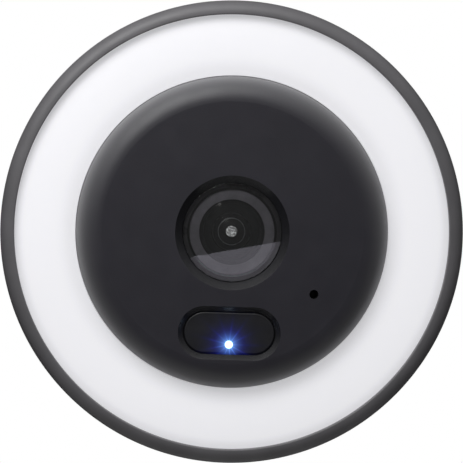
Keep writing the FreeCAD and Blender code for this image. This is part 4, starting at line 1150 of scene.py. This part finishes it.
@dataclass
class Electronics(SubAssembly):
    """The main board, the speaker, the aerial and the wires between them."""

    def build(self) -> None:
        """Dresses every piece behind the mid frame."""
        self.dress(
            main_board=GREEN_MASK,
            processor_shield=Metal("tinned steel", (0.66, 0.66, 0.68), 0.28),
            wifi_module=Metal("radio can", (0.62, 0.62, 0.64), 0.34),
            supercapacitors=Plastic("blue sleeve", (0.02, 0.05, 0.22), 0.25, Tooling.POLISHED, coat=0.4),
            power_inductor=Plastic("ferrite", (0.06, 0.06, 0.06), 0.6),
            board_connectors=Plastic("plug nylon", (0.76, 0.73, 0.64), 0.4),
            board_screws=SCREW_STEEL,
            reset_switch=SWITCH_CASE,
            antenna=Metal("copper film", (0.72, 0.40, 0.22), 0.22),
            speaker_frame=Plastic("speaker black", (0.02, 0.02, 0.02), 0.45),
            speaker_magnet=Metal("magnet nickel", (0.66, 0.65, 0.62), 0.2),
            speaker_cone=Plastic("cone film", (0.05, 0.05, 0.055), 0.3, Tooling.POLISHED),
            speaker_gasket=Plastic("gasket foam", (0.03, 0.03, 0.03), 0.8, grain=0.0005, depth=0.00006),
            speaker_wires=Plastic("red sleeve", (0.45, 0.02, 0.015), 0.4, Tooling.POLISHED),
            led_wires=Plastic("white sleeve", (0.72, 0.72, 0.70), 0.4, Tooling.POLISHED),
            front_flex=AMBER_FILM,
        )


@dataclass
class RearShell(SubAssembly):
    """The rear shell and everything that shows on or in its back."""

    def build(self) -> None:
        """Dresses the shell, its screws, terminals, key and vent."""
        self.dress(
            rear_housing=Plastic("housing black", (0.022, 0.022, 0.024), 0.5, depth=0.000016),
            mid_frame=Plastic("frame black", (0.03, 0.03, 0.032), 0.5),
            housing_seal=Plastic("seal rubber", (0.015, 0.015, 0.015), 0.7, sheen=0.2),
            housing_screws=Metal("zinc steel", (0.50, 0.50, 0.51), 0.32),
            face_screws=SCREW_STEEL,
            security_screw=Metal("black oxide", (0.06, 0.06, 0.06), 0.38),
            terminal_posts=Metal("brass", (0.72, 0.53, 0.22), 0.28, Tooling.TURNED),
            terminal_screws=Metal("nickel plate", (0.70, 0.69, 0.66), 0.24),
            reset_button=Plastic("key grey", (0.10, 0.10, 0.105), 0.55),
            vent_membrane=Winding("vent film", (0.80, 0.80, 0.78), 0.0001, 0.0),
        )


@dataclass
class WallPlate(SubAssembly):
    """The plate that stays on the wall."""

    def build(self) -> None:
        """Dresses the plate."""
        self.dress(wall_plate=Plastic("plate charcoal", (0.050, 0.050, 0.053), 0.48, depth=0.000018))


# ---------------------------------------------------------------- studio
@dataclass(frozen=True)
class Softbox:
    """A soft lamp: where it hangs, in metres, its width and height, and its power in watts."""

    name: str
    place: tuple[float, float, float]
    size: tuple[float, float]
    power: float


@dataclass
class Studio:
    """The pale floor, the soft lights and the camera."""

    distance: float = 0.95
    roll: float = -1.8
    frame_width: float = 92.3 * MM
    aim_out: float = 25.0 * MM
    floor_drop: float = 0.60
    floor_half: float = 0.5
    strip: tuple[float, float] = (0.3, 0.030)
    strip_glow: float = 0.66
    strip_colour: Colour = (0.98, 0.95, 1.10)
    strip_tilt: float = 11.8
    strip_out: float = 2.1
    strip_mark: tuple[float, float] = (0.8 * MM, -3.3 * MM)
    window_out: float = 31.4 * MM
    azimuth: float = -1.4
    elevation: float = 1.8
    sensor: float = 36.0
    rear_level: float = 0.26
    rear_span: tuple[float, float] = (-0.3, 0.6)
    levels: tuple[tuple[float, float], ...] = (
        (0.0, 0.01), (0.40, 0.04), (0.54, 0.11), (0.75, 0.66), (1.0, 1.0),
    )
    softboxes: tuple[Softbox, ...] = (
        Softbox("key", (-0.088, -0.18, 0.155), (0.14, 0.14), 0.36),
        Softbox("top", (-0.08, -0.45, 0.62), (0.50, 0.30), 1.0),
    )

    def build(self) -> None:
        """Sets up the whole studio."""
        scene = bpy.context.scene
        scene.view_settings.view_transform = "Standard"
        self.sky(scene)
        self.floor()
        for box in self.softboxes:
            self.hang(box)
        self.card()
        self.camera(scene)

    def sky(self, scene: bpy.types.Scene) -> None:
        """Surrounds the scene with a white that lights it gently.

        Args:
            scene: the scene that gets the surroundings.
        """
        world = bpy.data.worlds.new("white room")
        world.use_nodes = True
        sky = Wiring(world.node_tree)
        parts = sky.add("ShaderNodeSeparateXYZ")
        sky.join(sky.add("ShaderNodeTexCoord").outputs["Generated"], parts.inputs["Vector"])
        stops = [(rise, (level, level, level)) for rise, level in self.levels]
        shade = sky.ramp(sky.span(parts.outputs["Z"], -1.0, 1.0, 0.0, 1.0), stops)
        shade.node.color_ramp.interpolation = "B_SPLINE"
        room = sky.add("ShaderNodeBackground")
        sky.join(shade, room.inputs["Color"])
        behind = sky.span(parts.outputs["Y"], *self.rear_span, 1.0, self.rear_level)
        sky.join(behind, room.inputs["Strength"])
        seen = sky.add("ShaderNodeBackground")
        seen.inputs["Color"].default_value = (1.0, 1.0, 1.0, 1.0)
        mixed = sky.add("ShaderNodeMixShader")
        sky.join(sky.add("ShaderNodeLightPath").outputs["Is Camera Ray"], mixed.inputs["Fac"])
        sky.join(room.outputs["Background"], mixed.inputs[1])
        sky.join(seen.outputs["Background"], mixed.inputs[2])
        sky.join(mixed.outputs["Shader"], sky.add("ShaderNodeOutputWorld").inputs["Surface"])
        scene.world = world

    def floor(self) -> None:
        """Lays the pale floor well below the doorbell."""
        shape = bmesh.new()
        bmesh.ops.create_grid(shape, x_segments=8, y_segments=8, size=self.floor_half)
        bmesh.ops.translate(shape, verts=shape.verts, vec=(0.0, 0.0, -self.floor_drop))
        mesh = bpy.data.meshes.new("floor")
        shape.to_mesh(mesh)
        shape.free()
        sheet = bpy.data.objects.new("floor", mesh)
        paper = Plastic("floor paper", (0.84, 0.84, 0.835), 0.8, grain=0.002, change=0.008)
        mesh.materials.append(paper.make())
        bpy.context.scene.collection.objects.link(sheet)

    def area(self, name: str, size: tuple[float, float], power: float) -> bpy.types.Object:
        """Makes a rectangular lamp that the camera doesn't see.

        Args:
            name: what the lamp is called.
            size: its width and height, in metres.
            power: its power, in watts.

        Returns:
            The lamp, not yet placed.
        """
        lamp = bpy.data.lights.new(name, "AREA")
        lamp.shape = "RECTANGLE"
        lamp.size, lamp.size_y = size
        lamp.energy = power
        holder = bpy.data.objects.new(name, lamp)
        holder.visible_camera = False
        bpy.context.scene.collection.objects.link(holder)
        return holder

    def hang(self, box: Softbox) -> None:
        """Hangs a soft lamp so that it looks at the doorbell.

        Args:
            box: the lamp.
        """
        holder = self.area(box.name, box.size, box.power)
        holder.location = box.place
        toward = Vector((0.0, -self.aim_out, 0.0)) - Vector(box.place)
        holder.rotation_euler = toward.to_track_quat("-Z", "Y").to_euler()

    def card(self) -> None:
        """Holds a bright strip under and behind the camera, whose upper edge the window mirrors."""
        holder = self.area("strip", self.strip, self.strip_glow * math.pi * self.strip[0] * self.strip[1])
        holder.data.color = self.strip_colour
        tilt = Matrix.Rotation(math.radians(-self.strip_tilt), 3, "Y")
        holder.location = self.mirrored() + tilt @ Vector((0.0, 0.0, -self.strip[1] / 2))
        holder.rotation_euler = (tilt @ Matrix.Rotation(math.radians(90), 3, "X")).to_euler()

    def viewpoint(self) -> Vector:
        """Where the camera stands.

        Returns:
            The place, in metres.
        """
        across, up = math.radians(self.azimuth), math.radians(self.elevation)
        back = self.distance * math.cos(up)
        depth = -self.aim_out - back * math.cos(across)
        return Vector((back * math.sin(across), depth, self.distance * math.sin(up)))

    def mirrored(self) -> Vector:
        """The place that the camera sees mirrored at the strip's mark on the window.

        Returns:
            The place, in metres.
        """
        mark = Vector((self.strip_mark[0], -self.window_out, self.strip_mark[1]))
        toward = mark - self.viewpoint()
        reach = (self.strip_out - self.window_out) / toward.y
        return mark + Vector((toward.x, -toward.y, toward.z)) * reach

    def camera(self, scene: bpy.types.Scene) -> None:
        """Sets the camera in front, a little to the left, above and turned.

        Args:
            scene: the scene that gets the camera.
        """
        lens = bpy.data.cameras.new("camera")
        lens.sensor_width = self.sensor
        lens.lens = self.sensor * self.distance / self.frame_width
        lens.clip_start, lens.clip_end = 0.05, 20.0
        holder = bpy.data.objects.new("camera", lens)
        place = self.viewpoint()
        holder.location = place
        look = (Vector((0.0, -self.aim_out, 0.0)) - place).to_track_quat("-Z", "Y").to_matrix()
        holder.rotation_euler = (look @ Matrix.Rotation(math.radians(-self.roll), 3, "Z")).to_euler()
        scene.collection.objects.link(holder)
        scene.camera = holder


def main() -> None:
    """Builds every sub-assembly and the studio, in order."""
    logging.basicConfig(level=logging.INFO, format="%(name)s %(message)s")
    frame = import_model()
    for kind in (Bezel, LightRing, CameraCover, BellPush, CameraEye, Electronics, RearShell, WallPlate):
        assembly = kind(frame["nodes"])
        assembly.build()
        assembly.report()
    Studio().build()


if __name__ == "__main__":
    main()
